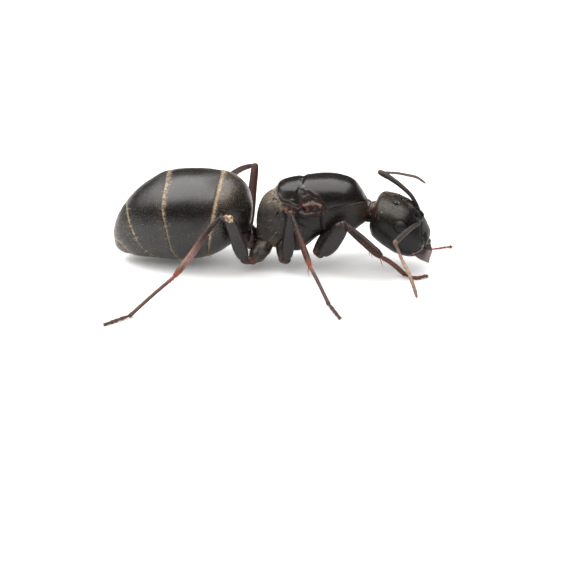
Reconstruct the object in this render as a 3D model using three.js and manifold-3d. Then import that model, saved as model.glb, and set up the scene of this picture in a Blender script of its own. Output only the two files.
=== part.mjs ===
// A carpenter-ant queen (Camponotus), life size, standing on a level floor.
// Millimetres, +Z up, head towards +X, the ant's own left towards +Y.
// The floor is z = 0, and the origin is under the middle of the box round the whole animal.

import * as THREE from 'three';
import { mergeVertices } from 'three/addons/utils/BufferGeometryUtils.js';
import Module from 'manifold-3d';

const wasm = await Module();
wasm.setup();
const { Manifold, Mesh } = wasm;

// ------------------------------------------------------------ driving sizes
const GAP = 0.02;          // air between neighbouring plates and limb pieces
const SLIM = 0.25;         // least radius of a limb or feeler
const FOOT = 0.22;         // height of a foot's centre line over the floor
const LIMB_SIDES = 8;
const BODY_SIDES = 20;
const BODY_RINGS = 14;
const TIP_AT = 0.8;        // a limb's end is a blunt dome: at this share of its radius beyond the end
const TIP_GIRTH = 0.6;     // it has shrunk to this share of it
const LEAST = 0.01;        // least half size of a ring
const SAME_POINT = 1e-4;   // corners closer than this are one

// Thorax, by rings across it: x, top, bottom, half width.
const THORAX = [
  [-1.74, 2.30, 2.30, 0.00],
  [-1.66, 3.16, 1.50, 0.78],
  [-1.46, 3.70, 1.22, 1.02],
  [-1.10, 4.06, 1.10, 1.16],
  [-0.80, 4.22, 1.06, 1.22],
  [-0.55, 4.58, 1.02, 1.28],
  [-0.15, 4.83, 0.96, 1.36],
  [0.50, 4.96, 1.02, 1.46],
  [1.10, 5.10, 1.42, 1.50],
  [1.75, 5.17, 1.90, 1.50],
  [2.40, 5.17, 2.14, 1.46],
  [3.00, 5.04, 2.12, 1.34],
  [3.45, 4.83, 2.20, 1.14],
  [3.82, 4.36, 2.46, 0.90],
  [4.14, 3.80, 2.74, 0.60],
  [4.32, 3.24, 3.24, 0.00],
];
const THORAX_SQUARE = 2.35;   // 2 makes an elliptical section, more a squarer one

// Seams between the plates of the thorax, seen from the side: x, z.
const PRONOTUM_REAR = [[1.85, 1.2], [1.92, 2.2], [1.80, 2.7], [1.84, 3.3], [1.98, 3.70]];
const PRONOTUM_TOP = [[1.98, 3.70], [2.60, 3.82], [3.30, 3.97], [3.86, 4.06], [4.6, 4.10]];
const SCUTUM_FOOT = [[1.98, 3.70], [1.70, 4.12], [1.26, 4.30], [0.92, 4.30], [0.66, 4.22]];
const SCUTUM_REAR = [[0.66, 4.22], [0.60, 4.6], [0.62, 5.6]];
const SCUTELLUM_FOOT = [[0.66, 4.22], [0.10, 4.12], [-0.42, 4.10]];
const GROOVE = [[-0.42, 4.10], [-0.78, 4.0], [-0.86, 4.6]];
const PROPODEUM_FRONT = [[-0.42, 4.10], [-0.30, 3.3], [-0.26, 2.3], [-0.60, 1.6], [-0.80, 0.6]];
// How far the plates' outlines are taken beyond the thorax: rear, front, below, above, to the sides.
const [REAR, FRONT, BELOW, ABOVE, ASIDE] = [-2.2, 4.6, 0.6, 5.6, 2];

// Petiole: a stalk (x, y, z, radius) and the upright scale on it.
const STALK = [
  [-1.60, 0, 1.62, 0.34],
  [-1.86, 0, 1.43, 0.40],
  [-2.14, 0, 1.46, 0.38],
  [-2.42, 0, 1.70, 0.32],
];
const SCALE_AT = [-2.00, 0, 1.50];
const SCALE_SIZE = [0.20, 0.62, 0.66];

// Gaster, by rings along it: x and z of the middle, radius, lean in degrees.
const GASTER = [
  [-2.20, 2.00, 0.00, 24],
  [-2.31, 2.40, 0.90, 20],
  [-2.58, 2.74, 1.48, 14],
  [-2.98, 2.88, 1.85, 10],
  [-3.42, 2.86, 2.13, 9],
  [-3.92, 2.81, 2.30, 8],
  [-4.60, 2.78, 2.41, 4.5],
  [-5.25, 2.76, 2.44, 1],
  [-5.80, 2.71, 2.43, -4],
  [-6.32, 2.61, 2.37, -10],
  [-7.32, 2.24, 2.05, -18],
  [-8.04, 1.74, 1.62, -30],
  [-8.66, 1.24, 1.13, -37],
  [-8.98, 0.88, 0.74, -44],
  [-9.26, 0.60, 0.00, -46],
];
const GASTER_SEAMS = [5, 9, 11, 12.6];   // the rings at which a segment ends
const GASTER_STEP = 0.5;               // a cross section at every half ring
const SEAM_HALF = 0.02;                // half the opening of a seam, counted in rings

// Head, by rings along its own axis from back to mouth: x, top, bottom, half width.
const HEAD = [
  [-0.08, 0.60, 0.60, 0.00],
  [-0.02, 0.82, 0.22, 0.74],
  [0.12, 0.98, -0.32, 1.12],
  [0.40, 1.11, -0.80, 1.43],
  [0.80, 1.19, -1.05, 1.60],
  [1.57, 1.24, -1.25, 1.68],
  [2.30, 1.07, -1.25, 1.54],
  [2.90, 0.75, -1.07, 1.28],
  [3.30, 0.41, -0.83, 1.01],
  [3.48, -0.25, -0.25, 0.00],
];
const HEAD_SQUARE = 2.5;
const HEAD_AT = [4.45, -0.02, 3.40];
const HEAD_YAW = -5;       // degrees, to the ant's right
const HEAD_DOWN = 32;      // degrees, face lowered
const NECK = [
  [3.90, 0, 3.18, 0.48],
  [4.20, -0.01, 3.18, 0.44],
  [4.50, -0.02, 3.08, 0.40],
];
const EYE_AT = [1.64, 1.45, 0.54];
const EYE_SIZE = [0.38, 0.24, 0.34];
const EYE_TILT = 16;       // degrees, turned up
const JAW = [
  [3.08, 0.82, -0.52, 0.32],
  [3.46, 0.72, -0.52, 0.34],
  [3.72, 0.48, -0.62, 0.31],
  [3.86, 0.29, -0.78, SLIM],
];

// Feelers: the points that the scape and then the funiculus pass through.
const FEELERS = {
  right: {
    scape: [[6.90, -0.85, 2.95], [6.62, -1.75, 3.00], [6.20, -2.85, 3.02], [5.76, -3.92, 2.94]],
    funiculus: [
      [5.76, -3.92, 2.94], [6.27, -4.50, 2.18], [6.68, -5.15, 1.70],
      [7.01, -5.95, 1.28], [7.17, -6.60, 1.00],
    ],
  },
  left: {
    scape: [
      [6.96, 0.34, 2.99], [6.50, 0.50, 3.86], [5.84, 0.70, 4.43],
      [5.20, 0.90, 4.82], [4.70, 1.02, 5.04],
    ],
    funiculus: [
      [4.70, 1.02, 5.04], [5.57, 1.80, 4.76], [6.10, 2.40, 4.44],
      [6.60, 3.12, 4.03], [7.11, 4.00, 3.38],
    ],
  },
};
const FEELER_GIRTH = { scape: [SLIM, SLIM, 0.26, 0.27], funiculus: [SLIM, SLIM, 0.26, SLIM] };

// Legs: the joints from the body outwards. The heel is where the foot meets the floor.
const LEGS = {
  right_hind: {
    hip: [-1.04, -0.62, 1.52], coxaEnd: [-1.88, -1.20, 0.70], femurHead: [-2.31, -1.49, 0.75],
    knee: [-3.01, -3.46, 3.86], ankle: [-5.58, -5.24, 1.24],
    heel: [-7.57, -8.54, 0.27], toe: [-8.65, -9.62, FOOT],
  },
  right_mid: {
    hip: [-0.16, -0.75, 1.70], coxaEnd: [-0.27, -1.13, 0.72], femurHead: [-0.05, -1.35, 0.74],
    knee: [0.23, -2.08, 3.74], ankle: [1.37, -3.95, 1.56],
    heel: [2.48, -6.09, 0.30], toe: [3.21, -7.71, FOOT],
  },
  right_fore: {
    hip: [2.42, -0.62, 2.55], coxaEnd: [1.72, -0.98, 1.20], femurHead: [1.87, -1.19, 1.09],
    knee: [3.03, -2.14, 3.24], ankle: [5.00, -2.65, 1.72],
    heel: [6.24, -1.78, 0.32], toe: [7.48, -1.50, FOOT],
  },
  left_hind: {
    hip: [-1.10, 0.62, 1.55], coxaEnd: [-1.88, 1.22, 0.98], femurHead: [-2.18, 1.50, 1.00],
    knee: [-2.19, 3.30, 4.42], ankle: [-4.60, 6.00, 2.30],
    heel: [-6.85, 8.25, 0.30], toe: [-7.90, 9.20, FOOT],
  },
  left_mid: {
    hip: [-0.14, 0.75, 1.70], coxaEnd: [-0.20, 1.12, 0.80], femurHead: [-0.02, 1.34, 0.82],
    knee: [0.50, 2.30, 3.58], ankle: [1.52, 4.40, 1.60],
    heel: [2.30, 6.55, 0.30], toe: [2.90, 7.95, FOOT],
  },
  left_fore: {
    hip: [2.30, 0.62, 2.55], coxaEnd: [1.78, 0.98, 1.20], femurHead: [1.92, 1.16, 1.10],
    knee: [3.60, 2.56, 2.52], ankle: [5.90, 2.30, 1.56],
    heel: [7.42, 2.22, 0.32], toe: [8.45, 2.89, FOOT],
  },
};
const FEMUR_START = 0.4;   // the femur starts at this share of the way across the hip's small hinge
const FEMUR_BELLY = 0.35;  // and is thickest at this share of its length

// Radii along each piece of a leg, from its near end to its far end.
const GIRTH = {
  hind: { coxa: [0.44, 0.43, 0.30], femur: [0.28, 0.36, 0.33, SLIM] },
  mid: { coxa: [0.46, 0.41, 0.30], femur: [0.28, 0.33, 0.30, SLIM] },
  fore: { coxa: [0.44, 0.42, 0.30], femur: [0.29, 0.41, 0.40, 0.27] },
};
const SHANK = [SLIM, SLIM, 0.26, SLIM];

const TINT = {
  head: '#1c1816', mandible: '#4a2a22', eye: '#2c2b2a', scape: '#2a2320', funiculus: '#7a5240',
  pronotum: '#1f1b18', mesoscutum: '#121012', scutellum: '#121012', mesopleuron: '#1f1b18',
  propodeum: '#3a342c', petiole: '#4a2c20', gaster: '#17130f', coxa: '#24201d', femur: '#211d1b',
  tibia: '#5a2a1c', tarsus: '#6e3a26',
};

// ----------------------------------------------------------- smooth numbers
const vec = (p) => new THREE.Vector3(p[0], p[1], p[2]);
const column = (rows, k) => rows.map((row) => row[k]);

// A curve y(x) through its knots that never swings past a neighbouring knot.
function smooth(x, y) {
  const rise = x.slice(1).map((v, i) => (y[i + 1] - y[i]) / (v - x[i]));
  const last = x.length - 1;
  const slope = x.map((_, i) => {
    if (i === 0) return rise[0];
    if (i === last) return rise[last - 1];
    if (rise[i - 1] * rise[i] <= 0) return 0;
    const after = x[i + 1] - x[i];
    const before = x[i] - x[i - 1];
    return (3 * (after + before))
      / ((2 * after + before) / rise[i - 1] + (after + 2 * before) / rise[i]);
  });
  return (at) => {
    const up = x.findIndex((v) => v > at);
    const i = up === -1 ? last - 1 : Math.max(0, up - 1);
    const h = x[i + 1] - x[i];
    const s = THREE.MathUtils.clamp((at - x[i]) / h, 0, 1);
    const far = s * s * (3 - 2 * s);
    return y[i] * (1 - far) + y[i + 1] * far
      + h * s * (1 - s) * ((1 - s) * slope[i] - s * slope[i + 1]);
  };
}

// cos or sin of an angle, squared off for a section with rounded corners
const squared = (c, power) => Math.sign(c) * Math.abs(c) ** (2 / power);

// ------------------------------------------------------------ closed solids
// three.js geometry as a manifold-3d solid.
function solidOf(geometry) {
  geometry.deleteAttribute('normal');
  geometry.deleteAttribute('uv');
  const merged = mergeVertices(geometry, SAME_POINT);
  return new Manifold(new Mesh({
    numProp: 3,
    vertProperties: merged.attributes.position.array,
    triVerts: new Uint32Array(merged.index.array),
  }));
}

// A skin over rings of points, closed by one point at either end. The rings run
// anticlockwise as seen from the last end.
function skin(rings, first, last) {
  const n = rings[0].length;
  const index = [];
  const at = (r, k) => 1 + r * n + (k % n);
  const end = 1 + rings.length * n;
  for (let k = 0; k < n; k++) {
    index.push(0, at(0, k + 1), at(0, k));
    for (let r = 0; r + 1 < rings.length; r++) {
      index.push(at(r, k), at(r, k + 1), at(r + 1, k + 1));
      index.push(at(r, k), at(r + 1, k + 1), at(r + 1, k));
    }
    index.push(at(rings.length - 1, k), at(rings.length - 1, k + 1), end);
  }
  const geometry = new THREE.BufferGeometry().setFromPoints([first, ...rings.flat(), last]);
  geometry.setIndex(index);
  return solidOf(geometry);
}

// A body part with its rings across X, from rows of x, top, bottom, half width.
function shell(rows, power, more = 0) {
  const x = column(rows, 0);
  const middle = smooth(x, rows.map((r) => (r[1] + r[2]) / 2));
  const high = smooth(x, rows.map((r) => ((r[1] - r[2]) / 2) ** 2));
  const wide = smooth(x, rows.map((r) => r[3] ** 2));
  const x0 = x[0] - more;
  const x1 = x[x.length - 1] + more;
  const rings = [];
  for (let i = 1; i < BODY_RINGS; i++) {
    const at = THREE.MathUtils.lerp(x0, x1, (1 - Math.cos((Math.PI * i) / BODY_RINGS)) / 2);
    const h = Math.sqrt(Math.max(high(at), LEAST ** 2)) + more;
    const w = Math.sqrt(Math.max(wide(at), LEAST ** 2)) + more;
    const ring = [];
    for (let k = 0; k < BODY_SIDES; k++) {
      const angle = (2 * Math.PI * k) / BODY_SIDES;
      const y = w * squared(Math.cos(angle), power);
      const z = middle(at) + h * squared(Math.sin(angle), power);
      ring.push(new THREE.Vector3(at, y, z));
    }
    rings.push(ring);
  }
  const pole = (v) => new THREE.Vector3(v, 0, middle(v));
  return skin(rings, pole(x0), pole(x1));
}

// A limb: a round section along a curve, with the radii spread evenly and domed ends.
function limb(points, radii, more = 0) {
  const path = new THREE.CatmullRomCurve3(points.map(vec), false, 'centripetal');
  const thick = smooth(radii.map((_, i) => i / (radii.length - 1)), radii);
  const steps = 2 * (Math.max(points.length, radii.length) - 1);
  const along = path.getTangent(0);
  const side = new THREE.Vector3(0, 0, 1).cross(along).normalize();
  const ring = (middle, radius) => {
    side.addScaledVector(along, -side.dot(along)).normalize();
    const up = new THREE.Vector3().crossVectors(along, side);
    return Array.from({ length: LIMB_SIDES }, (_, k) => {
      const angle = (2 * Math.PI * k) / LIMB_SIDES;
      return middle.clone()
        .addScaledVector(side, radius * Math.cos(angle))
        .addScaledVector(up, radius * Math.sin(angle));
    });
  };
  const r0 = radii[0] + more;
  const r1 = radii[radii.length - 1] + more;
  const start = path.getPoint(0);
  const end = path.getPoint(1);
  const rings = [ring(start.clone().addScaledVector(along, -TIP_AT * r0), TIP_GIRTH * r0)];
  const first = start.clone().addScaledVector(along, -r0);
  for (let i = 0; i <= steps; i++) {
    along.copy(path.getTangent(i / steps));
    rings.push(ring(path.getPoint(i / steps), thick(i / steps) + more));
  }
  rings.push(ring(end.clone().addScaledVector(along, TIP_AT * r1), TIP_GIRTH * r1));
  return skin(rings, first, end.clone().addScaledVector(along, r1));
}

function ellipsoid(size) {
  return solidOf(new THREE.SphereGeometry(1, 12, 8).scale(...size));
}

const biggest = (solid) => solid.decompose().sort((a, b) => b.volume() - a.volume())[0];

// The side on which p lies of a plane through the joint that halves its angle.
function mitre(solid, joint, before, after, keep) {
  const inward = vec(joint).sub(vec(before)).normalize();
  const outward = vec(after).sub(vec(joint)).normalize();
  const normal = inward.add(outward).normalize().multiplyScalar(keep);
  return biggest(solid.trimByPlane(normal.toArray(), normal.dot(vec(joint)) + GAP / 2));
}

// ---------------------------------------------------------------- the nodes
const ant = new THREE.Group();
ant.name = 'ant';

function node(name, solid, group = ant) {
  const made = solid.getMesh();
  const geometry = new THREE.BufferGeometry();
  geometry.setAttribute('position', new THREE.BufferAttribute(made.vertProperties, made.numProp));
  geometry.setIndex(new THREE.BufferAttribute(made.triVerts, 1));
  geometry.computeVertexNormals();
  const color = TINT[name.split('_')[0]];
  const mesh = new THREE.Mesh(geometry, new THREE.MeshStandardMaterial({ color, roughness: 0.5 }));
  mesh.name = name;
  group.add(mesh);
}

// Head, with its eyes and jaws, in a frame of its own
const headGroup = new THREE.Group();
headGroup.position.set(...HEAD_AT);
const lowered = THREE.MathUtils.degToRad(HEAD_DOWN);
const swung = THREE.MathUtils.degToRad(HEAD_YAW);
headGroup.rotation.set(0, lowered, swung, 'ZYX');
headGroup.updateMatrix();
ant.add(headGroup);

const headRoom = shell(HEAD, HEAD_SQUARE, GAP);
let head = shell(HEAD, HEAD_SQUARE);
for (const [side, s] of [['left', 1], ['right', -1]]) {
  const eye = (more) => ellipsoid(EYE_SIZE.map((v) => v + more))
    .rotate([s * EYE_TILT, 0, 0])
    .translate([EYE_AT[0], s * EYE_AT[1], EYE_AT[2]]);
  head = head.subtract(eye(GAP));
  node(`eye_${side}`, eye(0), headGroup);
  const jaw = limb(JAW.map(([x, y, z]) => [x, s * y, z]), column(JAW, 3));
  node(`mandible_${side}`, biggest(jaw.subtract(headRoom)), headGroup);
}
node('head', head, headGroup);
const headInPlace = headRoom.transform(headGroup.matrix.elements);

// Thorax, cut into its plates by slabs that stand across the body
const thorax = shell(THORAX, THORAX_SQUARE);
const thoraxRoom = shell(THORAX, THORAX_SQUARE, GAP);

// A slab with the given outline in side view, drawn in by half the gap.
function slab(outline) {
  const points = outline.map(([x, z]) => new THREE.Vector2(x, z));
  if (THREE.ShapeUtils.area(points) < 0) points.reverse();
  const drawnIn = points.map((p, i) => {
    const before = points[(i + points.length - 1) % points.length];
    const after = points[(i + 1) % points.length];
    const a = p.clone().sub(before).normalize();
    const b = after.clone().sub(p).normalize();
    const inward = new THREE.Vector2(-a.y - b.y, a.x + b.x);
    return p.clone().addScaledVector(inward, GAP / 2 / (1 + a.dot(b)));
  });
  const geometry = new THREE.ExtrudeGeometry(
    new THREE.Shape(drawnIn),
    { depth: 2 * ASIDE, bevelEnabled: false },
  );
  return solidOf(geometry.rotateX(Math.PI / 2).translate(0, ASIDE, 0));
}
const turned = (line) => line.slice().reverse();
const joinedUp = (...lines) => lines.flatMap((line, i) => (i ? line.slice(1) : line));
const FOOT_OF_SIDE = PRONOTUM_REAR[0][0];
const TOP_OF_GROOVE = GROOVE[GROOVE.length - 1];
const PLATES = {
  pronotum: [...joinedUp(PRONOTUM_REAR, PRONOTUM_TOP), [FRONT, PRONOTUM_REAR[0][1]]],
  mesoscutum: [...joinedUp(turned(PRONOTUM_TOP), SCUTUM_FOOT, SCUTUM_REAR), [FRONT, ABOVE]],
  scutellum: [...joinedUp(turned(SCUTUM_REAR), SCUTELLUM_FOOT, GROOVE), [TOP_OF_GROOVE[0], ABOVE]],
  propodeum: [
    ...joinedUp(turned(GROOVE), PROPODEUM_FRONT),
    [REAR, BELOW],
    [REAR, TOP_OF_GROOVE[1]],
  ],
  mesopleuron: [
    ...joinedUp(...[PROPODEUM_FRONT, SCUTELLUM_FOOT, SCUTUM_FOOT, PRONOTUM_REAR].map(turned)),
    [FOOT_OF_SIDE, BELOW],
  ],
};
const neck = limb(NECK, column(NECK, 3)).subtract(headInPlace);
for (const [name, outline] of Object.entries(PLATES)) {
  const plate = biggest(thorax.intersect(slab(outline)));
  node(name, name === 'pronotum' ? biggest(plate.add(neck)) : plate);
}

// Gaster, one solid for each segment
function gasterPiece(rows, more = 0) {
  const rings = rows.map(([x, z, radius, lean]) => {
    const tilt = THREE.MathUtils.degToRad(lean);
    return Array.from({ length: BODY_SIDES }, (_, k) => {
      const angle = (2 * Math.PI * k) / BODY_SIDES;
      const up = (radius + more) * Math.sin(angle);
      const aside = -(radius + more) * Math.cos(angle);
      return new THREE.Vector3(x + up * Math.sin(tilt), aside, z + up * Math.cos(tilt));
    });
  });
  const middle = (row) => new THREE.Vector3(row[0], 0, row[1]);
  return skin(rings, middle(rows[0]), middle(rows[rows.length - 1]));
}
const ringNumbers = GASTER.map((_, i) => i);
const gasterCurves = [
  smooth(ringNumbers, column(GASTER, 0)),
  smooth(ringNumbers, column(GASTER, 1)),
  smooth(ringNumbers, column(GASTER, 2).map((radius) => radius ** 2)),
  smooth(ringNumbers, column(GASTER, 3)),
];
function gasterRow(t) {
  const [x, z, square, lean] = gasterCurves.map((f) => f(t));
  return [x, z, Math.sqrt(square), lean];
}
// The gaster's cross sections from one place to another, both counted in rings.
function gasterSpan(from, to) {
  const rows = [gasterRow(from)];
  const firstWhole = Math.floor(from / GASTER_STEP + 1) * GASTER_STEP;
  for (let t = firstWhole; t < to - SEAM_HALF / 2; t += GASTER_STEP) {
    rows.push(gasterRow(t));
  }
  rows.push(gasterRow(to));
  return rows;
}
const GASTER_FRONT = GASTER_STEP / 4;
const GASTER_TAIL = GASTER.length - 1 - GASTER_STEP / 4;
const starts = [GASTER_FRONT, ...GASTER_SEAMS.map((t) => t + SEAM_HALF)];
const ends = [...GASTER_SEAMS.map((t) => t - SEAM_HALF), GASTER_TAIL];
starts.forEach((from, i) => {
  node(`gaster_${i + 1}`, gasterPiece(gasterSpan(from, ends[i])));
});
const gasterRoom = gasterPiece(gasterSpan(GASTER_FRONT, GASTER_TAIL), GAP);

const scale = ellipsoid(SCALE_SIZE).translate(SCALE_AT);
const petiole = limb(STALK, column(STALK, 3)).add(scale);
node('petiole', biggest(petiole.subtract(thoraxRoom).subtract(gasterRoom)));

// Feelers
for (const [side, { scape, funiculus }] of Object.entries(FEELERS)) {
  const elbow = [funiculus[0], scape[scape.length - 2], funiculus[1]];
  const first = limb(scape, FEELER_GIRTH.scape).subtract(headInPlace);
  const second = limb(funiculus, FEELER_GIRTH.funiculus);
  node(`scape_${side}`, mitre(first, ...elbow, -1));
  node(`funiculus_${side}`, mitre(second, ...elbow, 1));
}

// Legs
const between = (a, b, share) => a.map((v, i) => v + (b[i] - v) * share);
for (const [leg, j] of Object.entries(LEGS)) {
  const girth = GIRTH[leg.split('_')[1]];
  const coxa = [j.hip, between(j.hip, j.coxaEnd, 0.5), j.coxaEnd];
  const femur = [
    between(j.coxaEnd, j.femurHead, FEMUR_START),
    j.femurHead,
    between(j.femurHead, j.knee, FEMUR_BELLY),
    j.knee,
  ];
  const sole = between(j.heel, j.toe, 0.5);
  const tarsus = [j.ankle, between(j.ankle, j.heel, 0.5), j.heel, [sole[0], sole[1], FOOT], j.toe];
  const knee = [j.knee, j.femurHead, j.ankle];
  const ankle = [j.ankle, j.knee, j.heel];
  const coxaRoom = limb(coxa, girth.coxa, GAP);
  const thigh = limb(femur, girth.femur).subtract(coxaRoom).subtract(thoraxRoom);
  node(`coxa_${leg}`, biggest(limb(coxa, girth.coxa).subtract(thoraxRoom)));
  node(`femur_${leg}`, mitre(biggest(thigh), ...knee, -1));
  const shin = mitre(limb([j.knee, j.ankle], SHANK), ...knee, 1);
  node(`tibia_${leg}`, mitre(shin, ...ankle, -1));
  const foot = mitre(limb(tarsus, [SLIM, SLIM]), ...ankle, 1);
  node(`tarsus_${leg}`, foot.trimByPlane([0, 0, 1], 0));
}

// ------------------------------------------------------- the part's own frame
const box = new THREE.Box3().setFromObject(ant, true);
const origin = box.getCenter(new THREE.Vector3());
ant.position.set(-origin.x, -origin.y, 0);

const queen = new THREE.Group();
queen.name = 'ant_queen';
queen.add(ant);

export default queen;
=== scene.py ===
# %% [markdown]
# # A carpenter ant queen, life size
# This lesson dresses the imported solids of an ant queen, about 18 mm long, so that she looks like
# a well-prepared museum specimen on a white sheet. Her skin is chitin: hard plates of a dark,
# tanned protein shell, joined by soft pale skin, with thousands of fine hairs. Each cell makes
# one thing and prints what it made. All sizes are in millimetres in the ant's own frame, with
# X towards her head, Y towards her left and Z up, and turn into Blender's metres at the very end.

# %% The frame
import math

import bpy
import numpy as np
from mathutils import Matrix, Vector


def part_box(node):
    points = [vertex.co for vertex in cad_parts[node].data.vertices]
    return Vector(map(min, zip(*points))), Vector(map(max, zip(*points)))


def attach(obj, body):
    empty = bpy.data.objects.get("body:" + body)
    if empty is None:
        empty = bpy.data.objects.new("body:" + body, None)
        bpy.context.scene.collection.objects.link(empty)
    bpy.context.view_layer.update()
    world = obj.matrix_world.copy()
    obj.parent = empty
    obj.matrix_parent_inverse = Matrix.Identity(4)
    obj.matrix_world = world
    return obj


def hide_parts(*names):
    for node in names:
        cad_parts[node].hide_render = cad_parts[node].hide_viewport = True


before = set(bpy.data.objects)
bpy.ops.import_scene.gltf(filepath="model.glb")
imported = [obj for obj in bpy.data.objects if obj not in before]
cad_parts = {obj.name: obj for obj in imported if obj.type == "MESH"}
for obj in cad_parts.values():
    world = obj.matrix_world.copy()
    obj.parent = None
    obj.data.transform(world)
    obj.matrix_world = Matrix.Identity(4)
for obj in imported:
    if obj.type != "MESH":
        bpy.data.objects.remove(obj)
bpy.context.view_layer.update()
MM = 0.001
print("solids in the frame:", len(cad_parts))

# %% [markdown]
# ## Where the ant stands in the frame
# The solids were drawn round the ant's own middle and then moved, so this script has to find
# the same move. It could be typed in as a number, but then a change of the solids would leave
# the dressing behind. The two eyes are balls whose middles are known in the head, so the middle
# between the two solids gives the move exactly.

# %% The head's pose and the ant's origin
HEAD_AT = np.array([4.45, -0.02, 3.40])
HEAD_YAW = -5.0
HEAD_DOWN = 32.0
EYE_AT = np.array([1.64, 1.45, 0.54])


def turned(yaw, down):
    """The rotation that lowers the X axis by down and then swings it by yaw, in degrees."""
    cy, sy = math.cos(math.radians(yaw)), math.sin(math.radians(yaw))
    cd, sd = math.cos(math.radians(down)), math.sin(math.radians(down))
    swing = np.array([[cy, -sy, 0], [sy, cy, 0], [0, 0, 1]])
    lower = np.array([[cd, 0, sd], [0, 1, 0], [-sd, 0, cd]])
    return swing @ lower


HEAD_TURN = turned(HEAD_YAW, HEAD_DOWN)


def in_head(points):
    """Points given along the head's own axes, in the ant's frame."""
    return np.asarray(points, float) @ HEAD_TURN.T + HEAD_AT


def middle_of(node):
    low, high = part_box(node)
    return np.array(low + high) / 2 / MM


between_eyes = in_head([EYE_AT[0], 0, EYE_AT[2]])
ORIGIN = between_eyes - (middle_of("eye_left") + middle_of("eye_right")) / 2
ORIGIN[2] = 0
print("the ant's frame starts at", ORIGIN.round(4), "mm")

# %% [markdown]
# ## The camera
# A long lens from 18 cm away looks at her right side, a little from above and slightly from the
# front of straight sideways. A short lens nearer by would swell the near legs. The camera comes
# before the pieces because it settles how fine they have to be.

# %% The camera
VIEW_SIDE = 5.0        # degrees round from straight sideways, towards her head
VIEW_DOWN = 22.0       # degrees down
VIEW_FAR = 180.0
VIEW_WIDE = 30.482     # width of floor and air in the picture
WIDE_AT = 2.2          # how far behind the aim that width is measured
SENSOR = 36
AIM = np.array([0.0, -3.0, 0.0])

side = math.radians(VIEW_SIDE)
down = math.radians(VIEW_DOWN)
towards = np.array([math.sin(side) * math.cos(down), -math.cos(side) * math.cos(down), math.sin(down)])
camera_data = bpy.data.cameras.new("camera")
camera = bpy.data.objects.new("camera", camera_data)
bpy.context.scene.collection.objects.link(camera)
camera.location = (AIM + VIEW_FAR * towards - ORIGIN) * MM
camera.rotation_euler = (math.radians(90) - down, 0, side)
camera_data.sensor_width = SENSOR
camera_data.lens = SENSOR * (VIEW_FAR + WIDE_AT) / VIEW_WIDE
camera_data.clip_start = 0.01
camera_data.clip_end = 10
bpy.context.scene.camera = camera
print("lens", round(camera_data.lens, 1), "mm")

# %% [markdown]
# ## Helpers for shapes
# Every piece is a list of points and faces made from a few named sizes. `smooth` draws a curve
# through knots, `sweep` pulls a section along a curved line for limbs, and `shell_of` stacks
# sections for the big body parts. Modelling by hand with subdivision would also do, but numbers
# keep the dressing exactly on the solids.

# %% Smooth curves through knots


def smooth(x, y, free=False):
    """y(x) through its knots. It never swings past a knot, or it may swing a little if free."""
    x = np.asarray(x, float)
    y = np.asarray(y, float)
    step = np.diff(x)
    rise = np.diff(y) / step
    slope = np.concatenate([rise[:1], np.zeros(len(x) - 2), rise[-1:]])
    for i in range(1, len(x) - 1):
        before, after = step[i - 1], step[i]
        if free:
            slope[i] = (after * rise[i - 1] + before * rise[i]) / (before + after)
        elif rise[i - 1] * rise[i] > 0:
            slope[i] = 3 * (after + before) / (
                (2 * after + before) / rise[i - 1] + (after + 2 * before) / rise[i])

    def curve(at):
        at = np.asarray(at, float)
        i = np.clip(np.searchsorted(x, at, side="right") - 1, 0, len(x) - 2)
        h = step[i]
        s = np.clip((at - x[i]) / h, 0, 1)
        far = s * s * (3 - 2 * s)
        bend = h * s * (1 - s) * ((1 - s) * slope[i] - s * slope[i + 1])
        return y[i] * (1 - far) + y[i + 1] * far + bend
    return curve


def ease(low, high, value):
    """0 below low, 1 above high, and a soft step between."""
    s = np.clip((np.asarray(value, float) - low) / (high - low), 0, 1)
    return s * s * (3 - 2 * s)


def fade(low, high, value):
    """1 below low, 0 above high, and a soft step between."""
    return 1 - ease(low, high, value)


def hump(value, middle, width):
    """1 at the middle and fading to 0 over about the width."""
    return np.exp(-((value - middle) / width) ** 2)


def unit(v):
    v = np.asarray(v, float)
    return v / np.maximum(np.linalg.norm(v, axis=-1, keepdims=True), 1e-9)


def squared(c, power):
    return np.sign(c) * np.abs(c) ** (2 / power)


def uneven(points, size, seed):
    """A gentle random field from -1 to 1 whose bumps are about size wide."""
    dice = np.random.RandomState(seed)
    total = np.zeros(len(points))
    for _ in range(7):
        wave = unit(dice.normal(size=3)) * math.tau / size * dice.uniform(0.6, 1.5)
        total += np.sin(points @ wave + dice.uniform(0, math.tau))
    return total / 4


print("half way through a soft step:", float(ease(0, 1, 0.5)))

# %% Skins over rings of points


def skin_over(rings, first=None, last=None, marks=None):
    """A shape over rings that run anticlockwise as seen from the last one, with poles at the ends.
    marks holds one number per ring point, and each pole takes the mean of its ring."""
    count, around = rings.shape[:2]
    points = rings.reshape(-1, 3)
    r, k = np.meshgrid(np.arange(count - 1), np.arange(around), indexing="ij")
    r, k = r.ravel(), k.ravel()
    nxt = (k + 1) % around
    quads = np.stack([r * around + k, r * around + nxt, (r + 1) * around + nxt, (r + 1) * around + k], 1)
    triangles = np.zeros((0, 3), int)
    marks = {name: np.asarray(m, float).reshape(-1) for name, m in (marks or {}).items()}
    ring = np.arange(around)
    for pole, base, flip in ((first, 0, True), (last, (count - 1) * around, False)):
        if pole is None:
            continue
        tip = np.full(around, len(points))
        a, b = base + ring, base + (ring + 1) % around
        fan = np.stack([tip, b, a], 1) if flip else np.stack([tip, a, b], 1)
        triangles = np.concatenate([triangles, fan])
        points = np.concatenate([points, [pole]])
        for name in marks:
            marks[name] = np.append(marks[name], marks[name][base:base + around].mean())
    return {"points": points, "quads": quads, "triangles": triangles, "marks": marks}


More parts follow.
